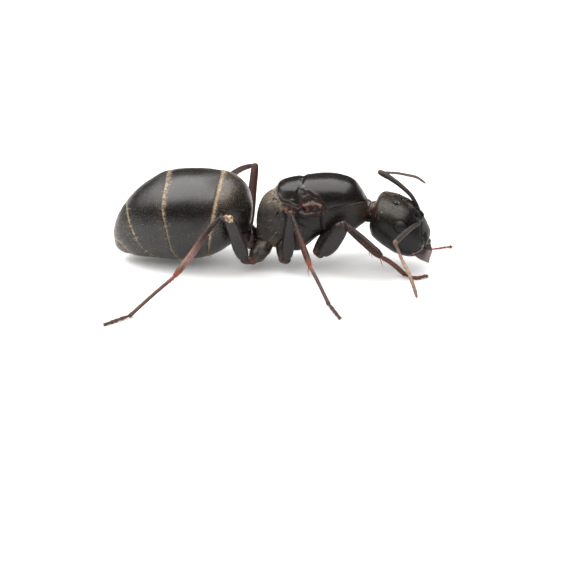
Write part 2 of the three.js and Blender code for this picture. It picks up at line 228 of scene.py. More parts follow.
def joined(shapes):
    """Several shapes as one. A mark that one of them lacks is 0 there."""
    names = sorted({name for s in shapes for name in s["marks"]})
    start = np.cumsum([0] + [len(s["points"]) for s in shapes])
    return {
        "points": np.concatenate([s["points"] for s in shapes]),
        "quads": np.concatenate([s["quads"] + n for s, n in zip(shapes, start)]),
        "triangles": np.concatenate([s["triangles"] + n for s, n in zip(shapes, start)]),
        "marks": {name: np.concatenate([s["marks"].get(name, np.zeros(len(s["points"]))) for s in shapes])
                  for name in names},
    }


def normals_of(shape):
    p = shape["points"]
    out = np.zeros_like(p)
    for corners in (shape["quads"], shape["triangles"]):
        if len(corners):
            across = np.cross(p[corners[:, 2]] - p[corners[:, 0]], p[corners[:, -1]] - p[corners[:, 1]])
            for c in corners.T:
                for axis in range(3):
                    out[:, axis] += np.bincount(c, across[:, axis], len(p))
    return unit(out)


print("a ring of four points and two poles:",
      len(skin_over(np.zeros((1, 4, 3)), [0, 0, -1], [0, 0, 1])["triangles"]), "triangles")

# %% Limbs, body parts and balls


def sweep(line, radii, deep=None, sides=20, steps=36, up=(0, 0, 1), square=2.0, round_ends=(1, 1)):
    """A limb: a section along the line. radii are (place from 0 to 1, half width) and deep the same
    for the half height towards up. Each end is domed by its own radius times round_ends."""
    line = np.asarray(line, float)
    knots = np.concatenate([[0], np.cumsum(np.linalg.norm(np.diff(line, axis=0), axis=1) ** 0.5)])
    path = [smooth(knots, line[:, i], free=True) for i in range(3)]
    fine = np.linspace(0, knots[-1], 400)
    trail = np.stack([f(fine) for f in path], 1)
    length = np.concatenate([[0], np.cumsum(np.linalg.norm(np.diff(trail, axis=0), axis=1))])
    wide = smooth(*zip(*radii))
    high = smooth(*zip(*(deep or radii)))
    s = np.linspace(0, 1, steps)
    middle = np.stack([np.interp(s * length[-1], length, trail[:, i]) for i in range(3)], 1)
    along = unit(np.gradient(middle, axis=0))
    a, b = wide(s), high(s)
    dome = np.linspace(0.12, 1, 6)[:-1] * math.pi / 2
    lead, tail = min(a[0], b[0]) * round_ends[0], min(a[-1], b[-1]) * round_ends[1]
    middle = np.concatenate([
        middle[0] - np.outer(np.cos(dome), along[0]) * lead, middle,
        middle[-1] + np.outer(np.cos(dome[::-1]), along[-1]) * tail])
    a = np.concatenate([a[0] * np.sin(dome), a, a[-1] * np.sin(dome[::-1])])
    b = np.concatenate([b[0] * np.sin(dome), b, b[-1] * np.sin(dome[::-1])])
    pad = len(dome)
    along = np.concatenate([np.repeat(along[:1], pad, 0), along, np.repeat(along[-1:], pad, 0)])
    s = np.concatenate([np.zeros(pad), s, np.ones(pad)])
    out = unit(np.cross(np.broadcast_to(up, along.shape), along))
    rise = np.cross(along, out)
    angle = math.tau * np.arange(sides) / sides
    rings = (middle[:, None] + (a[:, None] * squared(np.cos(angle), square))[..., None] * out[:, None]
             + (b[:, None] * squared(np.sin(angle), square))[..., None] * rise[:, None])
    first = middle[0] - along[0] * lead * 0.02
    last = middle[-1] + along[-1] * tail * 0.02
    marks = {"along": np.repeat(s[:, None], sides, 1),
             "around": np.repeat((angle / math.tau)[None], len(s), 0)}
    return skin_over(rings, first, last, marks)


def form_of(rows):
    """The curves of a body part's middle and of the squares of its half height and half width, from
    rows of place along X, top, bottom and half width."""
    x, top, bottom, half = np.array(rows, float).T
    return smooth(x, (top + bottom) / 2), smooth(x, ((top - bottom) / 2) ** 2), smooth(x, half ** 2)


def on_form(form, square, x, y=None, z=None, out=0.0):
    """The point on the back of a body part at x and y, or on its right side at x and z."""
    middle, high, wide = [float(curve(x)) for curve in form]
    share = abs(y) / math.sqrt(wide) if z is None else abs(z - middle) / math.sqrt(high)
    rest = (1 - min(share, 1.0) ** square) ** (1 / square)
    if z is None:
        return np.array([x, y, middle + math.sqrt(high) * rest + out])
    return np.array([x, -math.sqrt(wide) * rest - out, z])


def shell_of(rows, count, sides, square):
    """The skin of a body part, with its rings across X."""
    x = np.array(rows, float)[:, 0]
    middle, high, wide = form_of(rows)
    share = np.arange(1, count) / count
    at = x[0] + (x[-1] - x[0]) * (1 - np.cos(math.pi * share)) / 2
    angle = math.tau * np.arange(sides) / sides
    h = np.sqrt(np.maximum(high(at), 1e-4))[:, None]
    w = np.sqrt(np.maximum(wide(at), 1e-4))[:, None]
    y = w * squared(np.cos(angle), square)
    z = middle(at)[:, None] + h * squared(np.sin(angle), square)
    rings = np.stack([np.repeat(at[:, None], sides, 1), y, z], 2)
    marks = {"along": np.repeat(share[:, None], sides, 1),
             "around": np.repeat((angle / math.tau)[None], len(at), 0)}
    poles = [[v, 0, float(middle(v))] for v in (x[0], x[-1])]
    return skin_over(rings, *poles, marks)


def dome(size, rows=14, sides=28):
    """A ball squashed to the three half sizes."""
    tilt = math.pi * np.arange(1, rows) / rows
    angle = math.tau * np.arange(sides) / sides
    girth = np.sin(tilt)[:, None]
    level = -np.cos(tilt)[:, None]
    ring = np.stack(np.broadcast_arrays(girth * np.cos(angle), girth * np.sin(angle), level), 2)
    marks = {"along": np.repeat(tilt[:, None] / math.pi, sides, 1),
             "around": np.repeat((angle / math.tau)[None], len(tilt), 0)}
    shape = skin_over(ring, [0, 0, -1], [0, 0, 1], marks)
    shape["points"] = shape["points"] * size
    return shape


print("a ball has", len(dome((1, 1, 1))["points"]), "points")

# %% Marks, mirror and distances


def mark(shape, **marks):
    """Puts marks from 0 to 1 on a shape, each one number or a number per point."""
    for name, value in marks.items():
        shape["marks"][name] = np.broadcast_to(np.clip(value, 0.0, 1.0), len(shape["points"]))


def roughened(shape, height):
    """Moves the points out along the skin by a height each, in place."""
    shape["points"] = shape["points"] + normals_of(shape) * height[:, None]


def folded(shape):
    """A skin's points, its ways out, and its points with her left side folded onto the right."""
    points = shape["points"]
    return points, normals_of(shape), np.stack([points[:, 0], -np.abs(points[:, 1]), points[:, 2]], 1)


def mirrored(shape):
    """The same shape on her other side."""
    return {"points": shape["points"] * [1, -1, 1], "quads": shape["quads"][:, ::-1],
            "triangles": shape["triangles"][:, ::-1], "marks": dict(shape["marks"])}


def distance_to(points, line):
    """How far each point is from a line of straight stretches."""
    best = np.full(len(points), 1e9)
    line = np.asarray(line, float)
    for a, b in zip(line[:-1], line[1:]):
        ab = b - a
        s = np.clip((points - a) @ ab / max(ab @ ab, 1e-12), 0, 1)
        best = np.minimum(best, np.linalg.norm(points - a - s[:, None] * ab, axis=1))
    return best


def within(x, z, outline):
    """Signed distance to a closed outline in a side view, positive inside."""
    flat = np.stack([x, z], 1)
    ring = np.asarray(list(outline) + [outline[0]], float)
    inside = np.zeros(len(x), bool)
    for (x0, z0), (x1, z1) in zip(ring[:-1], ring[1:]):
        if z0 != z1:
            crosses = ((z0 > z) != (z1 > z)) & (x < (x1 - x0) * (z - z0) / (z1 - z0) + x0)
            inside ^= crosses
    far = distance_to(flat, ring)
    return np.where(inside, far, -far)


print("from the origin to a line at y = 2:", distance_to(np.zeros((1, 2)), [(-1, 2), (1, 2)])[0])

# %% Pieces in Blender


def make_piece(name, shape, material, stands_for=()):
    """Turns a shape into a Blender mesh that rides on the ant, in metres, with its marks as attributes."""
    quads, triangles = shape["quads"], shape["triangles"]
    points = (shape["points"] - ORIGIN) * MM
    mesh = bpy.data.meshes.new(name)
    mesh.vertices.add(len(points))
    mesh.vertices.foreach_set("co", points.astype(np.float32).ravel())
    corners = np.concatenate([quads.ravel(), triangles.ravel()]).astype(np.int32)
    starts = np.concatenate([np.arange(len(quads)) * 4, quads.size + np.arange(len(triangles)) * 3])
    mesh.loops.add(len(corners))
    mesh.loops.foreach_set("vertex_index", corners)
    mesh.polygons.add(len(starts))
    mesh.polygons.foreach_set("loop_start", starts.astype(np.int32))
    mesh.polygons.foreach_set("use_smooth", np.ones(len(starts), bool))
    mesh.update(calc_edges=True)
    if "bake" in shape:
        sheet = mesh.uv_layers.new(name="OFBake")
        sheet.data.foreach_set("uv", shape["bake"][corners].astype(np.float32).ravel())
    for mark_name, values in shape["marks"].items():
        layer = mesh.attributes.new(mark_name, "FLOAT", "POINT")
        layer.data.foreach_set("value", values.astype(np.float32))
    made = bpy.data.objects.new(name, mesh)
    bpy.context.scene.collection.objects.link(made)
    mesh.materials.append(material)
    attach(made, "root")
    if stands_for:
        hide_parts(*stands_for)
    print(f"{name}: {2 * len(quads) + len(triangles)} triangles")
    return made


print("ready to make pieces")

# %% [markdown]
# ## Chitin and its colours
# An insect's skin is sclerotised chitin: layers of chitin in a protein that tans from straw yellow
# through red-brown to almost black. Thick plates look black and satin, thin rims and leg ends stay
# amber, and soft joint skin stays pale. A painted texture could show that, but a procedural one
# follows the same rule as the insect: a dark base, clouded with brown, and lighter wherever a mark
# on the mesh says that the shell is thin. IOR of chitin is about 1.56. Some marks paint light and
# shade instead: shade in grooves, hollows, knees, jaws and mouth, a highlight on a shin and on a
# feeler, and reflections on the gaster and the thorax.

# %% Colours and nodes
CHITIN_IOR = 1.56
CLOUD = 0.7             # size in mm of the clouds of brown
PIT_DEEP = 0.012        # of a hair's pit, in mm


def linear(code):
    """An sRGB hex colour as Blender's linear one."""
    parts = [int(code[i:i + 2], 16) / 255 for i in (1, 3, 5)]
    return [*(v / 12.92 if v <= 0.04045 else ((v + 0.055) / 1.055) ** 2.4 for v in parts), 1.0]


def add(tree, kind, inputs=None, **settings):
    """One node with its settings, its values and its links."""
    made = tree.nodes.new("ShaderNode" + kind)
    for name, value in settings.items():
        setattr(made, name, value)
    for name, value in (inputs or {}).items():
        if isinstance(value, bpy.types.NodeSocket):
            tree.links.new(value, made.inputs[name])
        else:
            made.inputs[name].default_value = value
    return made


def ranged(tree, value, low, high, to_low=0.0, to_high=1.0):
    """A value stretched from one range to another and clamped there."""
    return add(tree, "MapRange", {"Value": value, "From Min": low, "From Max": high,
                                  "To Min": to_low, "To Max": to_high}).outputs[0]


def noise(tree, place, size, detail, roughness=0.5):
    """Clouds whose bumps are about size mm wide."""
    return add(tree, "TexNoise", {"Vector": place, "Scale": 1 / (size * MM), "Detail": detail,
                                  "Roughness": roughness}).outputs["Fac"]


FACTOR, FIRST, SECOND, MIXED = 0, 6, 7, 2      # sockets of a colour mix


def dyed(tree, amount, first, second):
    """The first colour going over into the second one by the amount."""
    return add(tree, "Mix", {FACTOR: amount, FIRST: first, SECOND: second},
               data_type="RGBA").outputs[MIXED]


def maths(tree, operation, *values, clamp=False):
    return add(tree, "Math", dict(enumerate(values)), operation=operation, use_clamp=clamp).outputs[0]


def chitin(name, dark, light, rough, grain, relief, tints=(), lift=1.0, stripes=(1, 1, 1), matt=0.3,
           pits=0.0):
    """A shell of tanned chitin. dark and light cloud into each other, grain is the size in mm of its
    fine sculpture and relief its height, pits is the spacing of hair pits. Each tint is a mark on
    the mesh, the colour there, how strong it is and how far it breaks up into specks. A mark named
    matt makes the shell rougher."""
    material = bpy.data.materials.new(name)
    material.use_nodes = True
    tree = material.node_tree
    shader = tree.nodes["Principled BSDF"]
    place = add(tree, "TexCoord").outputs["Object"]
    drawn = add(tree, "VectorMath", {0: place, 1: stripes}, operation="MULTIPLY").outputs[0]
    cloud = ranged(tree, noise(tree, place, CLOUD, 5.0), 0.36, 0.66)
    fine = noise(tree, drawn, grain, 3.0, 0.62)
    mottle = maths(tree, "MULTIPLY", cloud, ranged(tree, fine, 0.4, 0.66))
    colour = dyed(tree, mottle, linear(dark), linear(light))
    for mark_name, tint, strength, broken in tints:
        here = add(tree, "Attribute", attribute_name=mark_name).outputs["Fac"]
        feather = ranged(tree, fine, 0.3 + 0.15 * broken, 0.7 - 0.12 * broken,
                         0.6 * (1 - broken) * strength, (1.3 + 0.5 * broken) * strength)
        colour = dyed(tree, maths(tree, "MULTIPLY", here, feather, clamp=True), colour, linear(tint))
    tree.links.new(colour, shader.inputs["Base Color"])
    dull = add(tree, "Attribute", attribute_name="matt").outputs["Fac"]
    spread = ranged(tree, fine, 0.3, 0.7, rough - 0.05, rough + 0.09)
    gloss = maths(tree, "MULTIPLY_ADD", dull, matt, spread, clamp=True)
    tree.links.new(gloss, shader.inputs["Roughness"])
    height = maths(tree, "MULTIPLY", fine, relief)
    if pits:
        cell = add(tree, "TexVoronoi", {"Vector": place, "Scale": 1 / (pits * MM)}).outputs["Distance"]
        height = maths(tree, "ADD", height, ranged(tree, cell, 0.08, 0.3, 0.0, PIT_DEEP))
    bump = add(tree, "Bump", {"Height": height, "Strength": 1.0, "Distance": MM})
    tree.links.new(bump.outputs["Normal"], shader.inputs["Normal"])
    shader.inputs["IOR"].default_value = CHITIN_IOR
    shader.inputs["Specular IOR Level"].default_value = 0.5 * lift
    return material


print("black chitin in linear light:", [round(v, 4) for v in linear("#1a1614")])

# %% [markdown]
# ## The finishes
# The big plates are nearly black. The gaster is satin, with a fine cross-grain of scales 0.03 mm
# wide, drawn at 0.05 mm so that it shows. The back of the thorax is polished. The propodeum and
# pronotum carry a dusty bloom of tiny hairs, so their shell is duller and greyer. The thin
# shell of shins and feet lets light through and goes red-brown.

# %% Materials
# satin black-brown, with golden thin rims
# bald patches high on the middle rings carry a near-black painted dark reflection
gaster_shell = chitin("tanned_chitin_satin", "#0c0908", "#1d1512", 0.27, 0.05, 0.010,
                      [("warm", "#46362a", 0.8, 0.7), ("bald", "#060404", 0.9, 0.2),
                       ("rim", "#b4987a", 1.0, 0.3), ("dots", "#b09a7a", 1.0, 0.3)],
                      stripes=(1.6, 0.7, 0.7), lift=0.8)
# polished nearly black
# with near-black painted shade in its seams, pits and hollows
back_shell = chitin("tanned_chitin_polished", "#0e0a09", "#1b1512", 0.27, 0.06, 0.0025,
                    [("warm", "#3a1c12", 0.9, 0.3), ("amber", "#8a4e2c", 0.95, 0.5),
                     ("bloom", "#403833", 0.8, 0.4), ("gold", "#75654e", 0.8, 0.8),
                     ("pale", "#8c7a66", 0.8, 0.2), ("pit", "#060404", 1.0, 0.0)], matt=0.3, lift=0.5)
# black with a fine puncture everywhere, so nearly matt
# with near-black painted shade in its grooves, round the eyes and ocelli, and on the front face
head_shell = chitin("tanned_chitin_punctured", "#0a0808", "#17110f", 0.26, 0.045, 0.008,
                    [("warm", "#4a2c20", 0.8, 0.3), ("gold", "#5e5038", 0.7, 0.9),
                     ("pale", "#9a9294", 0.9, 0.2), ("pit", "#050404", 1.0, 0.0)],
                    matt=0.2, pits=0.1, lift=0.38)
# grey-black thighs, brown only at the hinges
leg_shell = chitin("tanned_chitin_leg", "#120e0d", "#241c19", 0.40, 0.05, 0.006,
                   [("warm", "#5c2e16", 1.0, 0.5), ("russet", "#34150e", 1.0, 0.1),
                    ("bloom", "#4a4038", 0.8, 0.4)], stripes=(1, 1, 0.5), lift=0.6)
# half transparent in life, so deep red-brown
# its rosy tint, on the near hind shin only, is a painted highlight
shin_shell = chitin("red_brown_chitin_shin", "#2a1410", "#42211a", 0.44, 0.05, 0.008,
                    [("dusky", "#140e0d", 1.0, 0.1), ("rosy", "#7c5e55", 1.0, 0.3),
                     ("amber", "#7a3c22", 1.0, 0.2)], stripes=(1, 1, 0.5), lift=0.45)
foot_shell = chitin("amber_chitin_foot", "#402821", "#5a3a2f", 0.45, 0.05, 0.006,
                    [("dusky", "#26110c", 1.0, 0.2), ("amber", "#7a3c22", 1.0, 0.2)], lift=0.45)
scape_shell = chitin("brown_chitin_feeler", "#1e1815", "#38302a", 0.56, 0.04, 0.010,
                     [("pale", "#8a6c4c", 1.0, 0.4), ("dusky", "#100c0b", 1.0, 0.2)], lift=0.45)
lash_shell = chitin("tan_chitin_feeler", "#5a4032", "#7e604c", 0.55, 0.04, 0.006,
                    [("dusky", "#35241c", 1.0, 0.2), ("pale", "#a3826c", 1.0, 0.2),
                     ("orange", "#b0643a", 1.0, 0.2)], lift=0.7)
jaw_shell = chitin("mauve_brown_chitin_jaw", "#3a2423", "#553835", 0.40, 0.06, 0.006,
                   [("dusky", "#120b0a", 1.0, 0.1), ("warm", "#6a4034", 0.8, 0.1)], pits=0.12, lift=0.8)
stalk_shell = chitin("thin_chitin_stalk", "#22120e", "#44271b", 0.36, 0.05, 0.006,
                     [("amber", "#74401f", 0.9, 0.4), ("dusky", "#120c0b", 1.0, 0.2)])
# pale and leathery, stretched between the shells
joint_skin = chitin("soft_joint_skin", "#3c1c10", "#85552f", 0.45, 0.06, 0.012,
                    [("pale", "#cab694", 1.0, 0.6), ("dusky", "#1c100c", 1.0, 0.1)])
# matt grey-black domes and clear black beads
cornea = chitin("lens_chitin_eye", "#0f0d0e", "#1a1718", 0.50, 0.03, 0.0, lift=0.35, pits=0.045)
glass_lens = chitin("clear_chitin_lens", "#050404", "#0a0808", 0.18, 0.2, 0.0, lift=0.7)
# hair is chitin too, drawn out thin, so it goes straw yellow to white gold
down_hair = chitin("golden_hair", "#4c443a", "#7e7464", 0.42, 0.2, 0.0, [("shade", "#b0a28a", 0.6, 0.0)])
pale_hair = chitin("white_gold_hair", "#8e7e62", "#c8b896", 0.40, 0.2, 0.0, [("shade", "#e0d4ba", 0.6, 0.0)])
bristle = chitin("amber_bristle", "#6a3c20", "#a8703c", 0.38, 0.2, 0.0, [("shade", "#c08a50", 0.5, 0.0)])
print("materials:", len(bpy.data.materials))

# %% [markdown]
# ## The sheet and the light
# The floor is a sheet of matt white paper that burns out to white. Black chitin shows hardly any
# colour of its own, so what the eye reads is the reflection of a long soft box overhead: it gives
# the broad grey gleam along the upper flanks, the dark room gives the black bands above and below
# it, and the paper lights her belly. One light could do both jobs, but paper and gleam then could
# not be balanced, so the soft box only makes the gleam, and a wide pale ceiling only lights
# surfaces and keeps the shadows open. A smaller key light, off towards
# her tail, gives the shadows a core.

# %% Floor, soft box, ceiling and room
SHEET = 900.0
PAPER_FIBRE = 0.4
BOX_LONG = 720.0
BOX_DEEP = 440.0
BOX_HIGH = 300.0
BOX_RADIANCE = 6.0
CEILING_SIZE = 3000.0
CEILING_HIGH = 420.0
CEILING_RADIANCE = 1.9
BOX_SHIFT = (-120, 10)
KEY_SIZE = 200.0
KEY_SHIFT = (-240, 0)
KEY_HIGH = 350.0
KEY_RADIANCE = 7.0
ROOM = 0.08


def panel(name, long, deep, high, radiance, shift=(0, 0)):
    """A glowing panel that faces down, in millimetres."""
    data = bpy.data.lights.new(name, "AREA")
    data.shape = "RECTANGLE"
    data.size = long * MM
    data.size_y = deep * MM
    data.energy = radiance * math.pi * data.size * data.size_y
    made = bpy.data.objects.new(name, data)
    made.location = (shift[0] * MM, shift[1] * MM, high * MM)
    bpy.context.scene.collection.objects.link(made)
    print(f"{name}: {data.energy:.2f} W")
    return made


paper = bpy.data.materials.new("matt_white_paper")
paper.use_nodes = True
tree = paper.node_tree
fibre = noise(tree, add(tree, "TexCoord").outputs["Object"], PAPER_FIBRE, 3.0)
tone = dyed(tree, fibre, linear("#f1f0ef"), linear("#f6f5f4"))
tree.links.new(tone, tree.nodes["Principled BSDF"].inputs["Base Color"])
tree.nodes["Principled BSDF"].inputs["Roughness"].default_value = 0.9
tree.nodes["Principled BSDF"].inputs["Specular IOR Level"].default_value = 0.1
half = SHEET / 2 * MM
sheet_mesh = bpy.data.meshes.new("paper_sheet")
corners = [(-half, -half, 0), (half, -half, 0), (half, half, 0), (-half, half, 0)]
sheet_mesh.from_pydata(corners, [], [(0, 1, 2, 3)])
sheet_mesh.materials.append(paper)
paper_sheet = bpy.data.objects.new("paper_sheet", sheet_mesh)
bpy.context.scene.collection.objects.link(paper_sheet)

soft_box = panel("soft_box", BOX_LONG, BOX_DEEP, BOX_HIGH, BOX_RADIANCE, BOX_SHIFT)
soft_box.visible_diffuse = False
ceiling = panel("pale_ceiling", CEILING_SIZE, CEILING_SIZE, CEILING_HIGH, CEILING_RADIANCE)
ceiling.visible_glossy = False
key = panel("key_light", KEY_SIZE, KEY_SIZE, KEY_HIGH, KEY_RADIANCE, KEY_SHIFT)
key.visible_glossy = False

room = bpy.data.worlds.new("studio_room")
room.use_nodes = True
room.node_tree.nodes["Background"].inputs["Color"].default_value = linear("#ffffff")
room.node_tree.nodes["Background"].inputs["Strength"].default_value = ROOM
bpy.context.scene.world = room
bpy.context.scene.view_settings.view_transform = "Standard"

# %% [markdown]
# ## The thorax
# The big hump of a queen's middle once held her flight muscles. It is built of plates that meet
# in sunken seams: the collar (pronotum), the polished back (mesoscutum), the small dome behind it
# (scutellum), the side (mesopleuron) and the sloping rear (propodeum). Separate plates could be
# laid over one another, but one skin with carved seams has no gaps from any side.

# %% The thorax's own form
THORAX = [      # place along X, top, bottom and half width
    [-1.78, 2.30, 2.30, 0.00], [-1.70, 3.16, 1.50, 0.78], [-1.48, 3.74, 1.22, 1.02],
    [-1.10, 4.10, 1.10, 1.16], [-0.80, 4.27, 1.06, 1.22], [-0.55, 4.62, 1.02, 1.28],
    [-0.15, 4.86, 0.93, 1.36], [0.50, 5.00, 0.93, 1.46], [1.10, 5.10, 1.40, 1.50],
    [1.75, 5.17, 1.95, 1.50], [2.40, 5.17, 2.14, 1.46], [3.00, 5.04, 2.12, 1.34],
    [3.45, 4.83, 2.20, 1.14], [3.82, 4.36, 2.46, 0.90], [4.14, 3.80, 2.74, 0.60],
    [4.32, 3.24, 3.24, 0.00],
]
THORAX_SQUARE = 2.35        # how boxy its sections are, where 2 is an ellipse
THORAX_RINGS = 300
THORAX_SIDES = 260
thorax_form = form_of(THORAX)


def along_skin(line, step=0.12):
    """A fine line on the skin through side points (x, z) or, given as (x, y, None), back points."""
    fixed = []
    for x, other, *on_back in line:
        where = {"y": other} if on_back else {"z": other}
        fixed.append(on_form(thorax_form, THORAX_SQUARE, x, **where))
    fine = [fixed[0]]
    for a, b in zip(fixed[:-1], fixed[1:]):
        parts = max(1, int(np.linalg.norm(b - a) / step))
        fine += [a + (b - a) * (i + 1) / parts for i in range(parts)]
    return np.array(fine)


thorax = shell_of(THORAX, THORAX_RINGS, THORAX_SIDES, THORAX_SQUARE)
print("bare thorax:", len(thorax["points"]), "points")

# %% [markdown]
# ## Seams and folds of the thorax
# Each seam is a line on the skin. A point near it sinks by a smooth groove, and plates that
# overhang a seam get a raised lip on their side of it. The wing roots are what is left of the
# wings that a queen breaks off: a sunken field of brown folds between back and side. Grooves,
# pits and low folds are painted with shade as well.

# %% Seams
SCUTUM_EDGE = [(0.90, 4.45), (1.08, 4.56), (1.28, 4.42), (1.50, 4.34), (1.72, 4.20), (1.90, 4.0),
               (2.03, 3.74)]
COLLAR_TOP = [(2.03, 3.74), (2.39, 3.78), (3.00, 3.94), (3.45, 4.02), (3.80, 4.02), (4.02, 3.92)]
COLLAR_REAR = [(1.82, 3.55), (1.78, 3.12), (1.84, 2.75), (1.88, 2.3), (1.95, 2.05)]
NOTCH_TOP = [(0.70, 0.0, None), (0.69, -0.45, None), (0.64, -0.80, None), (0.56, 4.72)]
NOTCH_SIDE = [(0.56, 4.72), (0.47, 4.50), (0.50, 4.24), (0.56, 3.97)]
DOME_FOOT = [(-0.72, 0.0, None), (-0.70, -0.3, None), (-0.65, 4.24), (-0.47, 4.12), (-0.31, 4.03),
             (-0.03, 3.99), (0.23, 3.88), (0.53, 3.80)]
STRIP_REAR = [(-0.95, 0.0, None), (-0.92, -0.25, None), (-0.86, 4.01), (-0.67, 3.94), (-0.55, 3.75),
              (-0.42, 3.58), (-0.28, 3.50)]
FLANK_TOP = [(0.40, 3.40), (0.84, 3.28), (1.09, 3.34), (1.47, 3.38), (1.80, 3.42)]
FLANK_REAR = [(-0.28, 3.50), (-0.10, 3.1), (-0.02, 2.5), (-0.24, 1.9), (-0.55, 1.4)]
FLANK_SPLIT = [(0.50, 3.00), (0.68, 2.95), (1.1, 2.72), (1.45, 2.45), (1.80, 2.40)]
WING_FIELD = [(0.58, 3.55), (0.60, 4.10), (0.93, 4.35), (1.08, 4.50), (1.28, 4.38), (1.72, 4.14),
              (1.95, 3.85), (1.84, 3.52), (1.47, 3.44), (0.90, 3.40)]
FOLD = [(0.88, 3.82), (1.12, 3.93), (1.34, 3.98), (1.55, 3.95), (1.78, 3.89)]     # the stub of a wing root
FOLD_CREST = [(0.84, 3.88), (1.00, 3.99), (1.15, 4.08), (1.31, 4.12), (1.47, 4.10), (1.63, 4.03),
              (1.80, 3.94)]
ROOTS = [(0.81, 3.90, 0.06), (0.62, 3.80, 0.07), (1.03, 3.70, 0.08), (-0.23, 3.70, 0.05),
         (0.20, 3.71, 0.06), (-0.42, 3.78, 0.04), (1.72, 3.86, 0.07)]             # small plates, x, z, size
HIND_WING_FIELD = [(-0.40, 3.58), (-0.20, 3.92), (0.22, 3.80), (0.50, 3.72), (0.46, 3.44), (0.0, 3.36)]
TOP = 5.8           # higher than any point of the thorax

DOME_FIELD = [(-0.74, TOP), (-0.74, 4.36), *DOME_FOOT[2:], *NOTCH_SIDE[2::-1], (0.64, 4.86), (0.70, TOP)]
BACK_FIELD = [(0.70, TOP), (0.64, 4.86), (0.60, 4.72), (1.02, 4.58), *SCUTUM_EDGE[2:], *COLLAR_TOP[1:],
              (4.6, TOP)]
REAR_FIELD = [(-2.2, 5.0), (-0.97, 5.0), (-0.86, 4.01), (-0.67, 3.94), (-0.42, 3.58), *FLANK_REAR,
              (-0.7, 0.6), (-2.2, 0.6)]
STRIP_FIELD = [(-0.97, 5.0), *STRIP_REAR[2:], (-0.12, 3.72), (-0.25, 3.96), (-0.47, 4.10), (-0.65, 4.22),
               (-0.74, 5.0)]
COLLAR_FIELD = [*COLLAR_TOP, (4.6, 4.0), (4.6, 1.2), (1.95, 1.2), *COLLAR_REAR[::-1]]
AXILLA = [(0.52, 4.70), (0.50, 4.24), (0.58, 4.02), (0.93, 4.35), (1.02, 4.56), (0.80, 4.74)]
SPIRACLE = (-0.55, 3.32)
DOME_PIT = (0.20, 4.22)
DOME_FACE = 4.5     # the dome's side is below this height and its top above

skin, out, near = folded(thorax)
x, y, z = near.T


def close_to(line, width):
    """1 on the line and fading to 0 over about the width."""
    return hump(distance_to(near, along_skin(line)), 0, width)


def spot(x_at, z_at, x_wide, z_wide):
    """1 at a place of the flanks and fading to 0 over about the two widths."""
    return np.exp(-((x - x_at) / x_wide) ** 2 - ((z - z_at) / z_wide) ** 2)


# Each seam sinks into a groove, and dark holds the painted shade along that groove.
sink = np.zeros(len(skin))
dark = np.zeros(len(skin))
for seam, width, depth in (
        (SCUTUM_EDGE, 0.07, 0.10), (COLLAR_TOP, 0.045, 0.05), (COLLAR_REAR, 0.06, 0.09),
        (NOTCH_TOP, 0.09, 0.03), (NOTCH_SIDE, 0.045, 0.07),
        (DOME_FOOT, 0.065, 0.12), (STRIP_REAR, 0.05, 0.07), (FLANK_TOP, 0.05, 0.06), (FLANK_REAR, 0.08, 0.09),
        (FLANK_SPLIT, 0.06, 0.05)):
    sink = np.maximum(sink, depth * close_to(seam, width))
    dark = np.maximum(dark, close_to(seam, 0.7 * width))
notch_pit = close_to([(0.69, -0.30, None), (0.66, -0.62, None)], 0.12)
wing = ease(-0.04, 0.12, within(x, z, WING_FIELD))
hind_wing = ease(-0.03, 0.12, within(x, z, HIND_WING_FIELD))
fold = close_to(FOLD, 0.10)
knobs = ease(-0.5, 0.7, uneven(near, 0.26, 10))
creases = ease(-0.4, 0.6, uneven(near * [0.7, 1, 1.6], 0.20, 9))
roots = np.zeros(len(skin))
for root_x, root_z, size in ROOTS:
    roots = np.maximum(roots, spot(root_x, root_z, size, 0.7 * size))
raised = np.clip(fold + 0.6 * roots + 0.25 * knobs + 0.2 * creases, 0, 1.2)
sink += 0.05 * notch_pit + wing * (0.19 - 0.15 * raised) + hind_wing * (0.13 - 0.10 * raised)
in_dome, in_back, in_rear, in_strip, in_collar = [
    within(x, z, field) for field in (DOME_FIELD, BACK_FIELD, REAR_FIELD, STRIP_FIELD, COLLAR_FIELD)]
dome_foot = distance_to(near, along_skin(DOME_FOOT))
back_edge = distance_to(near, along_skin(SCUTUM_EDGE))
dome_lip = ease(0, 0.03, in_dome) * hump(dome_foot, 0.08, 0.05)
back_lip = ease(0, 0.03, in_back) * hump(back_edge, 0.12, 0.08)
# the small pit on the dome, sunk and painted with shade
pit = spot(*DOME_PIT, 0.13, 0.06) * (z < DOME_FACE)
breath = np.hypot((x - SPIRACLE[0]) / 0.07, (z - SPIRACLE[1]) / 0.13)
sink += 0.05 * pit + 0.08 * np.exp(-breath ** 4) - 0.03 * hump(breath, 1.5, 0.4)
sink += 0.04 * ease(0, 0.1, within(x, z, AXILLA))
for y_line, x_from, x_to in ((0.66, 1.2, 2.9), (0.0, 2.7, 3.9)):
    sink += 0.010 * close_to([(x_from, -y_line, None), (x_to, -0.85 * y_line, None)], 0.03)
brow = ease(0, 0.1, in_dome) * hump(z, 4.58, 0.15)
sink -= 0.025 * dome_lip + 0.02 * back_lip + 0.04 * brow
sink += 0.018 * uneven(near, 0.7, 3) * ease(0, 0.2, in_rear) + 0.006 * uneven(near, 0.9, 4)
thorax["points"] = skin - out * sink[:, None]
print("deepest fold:", round(float(sink.max()), 2), "mm")
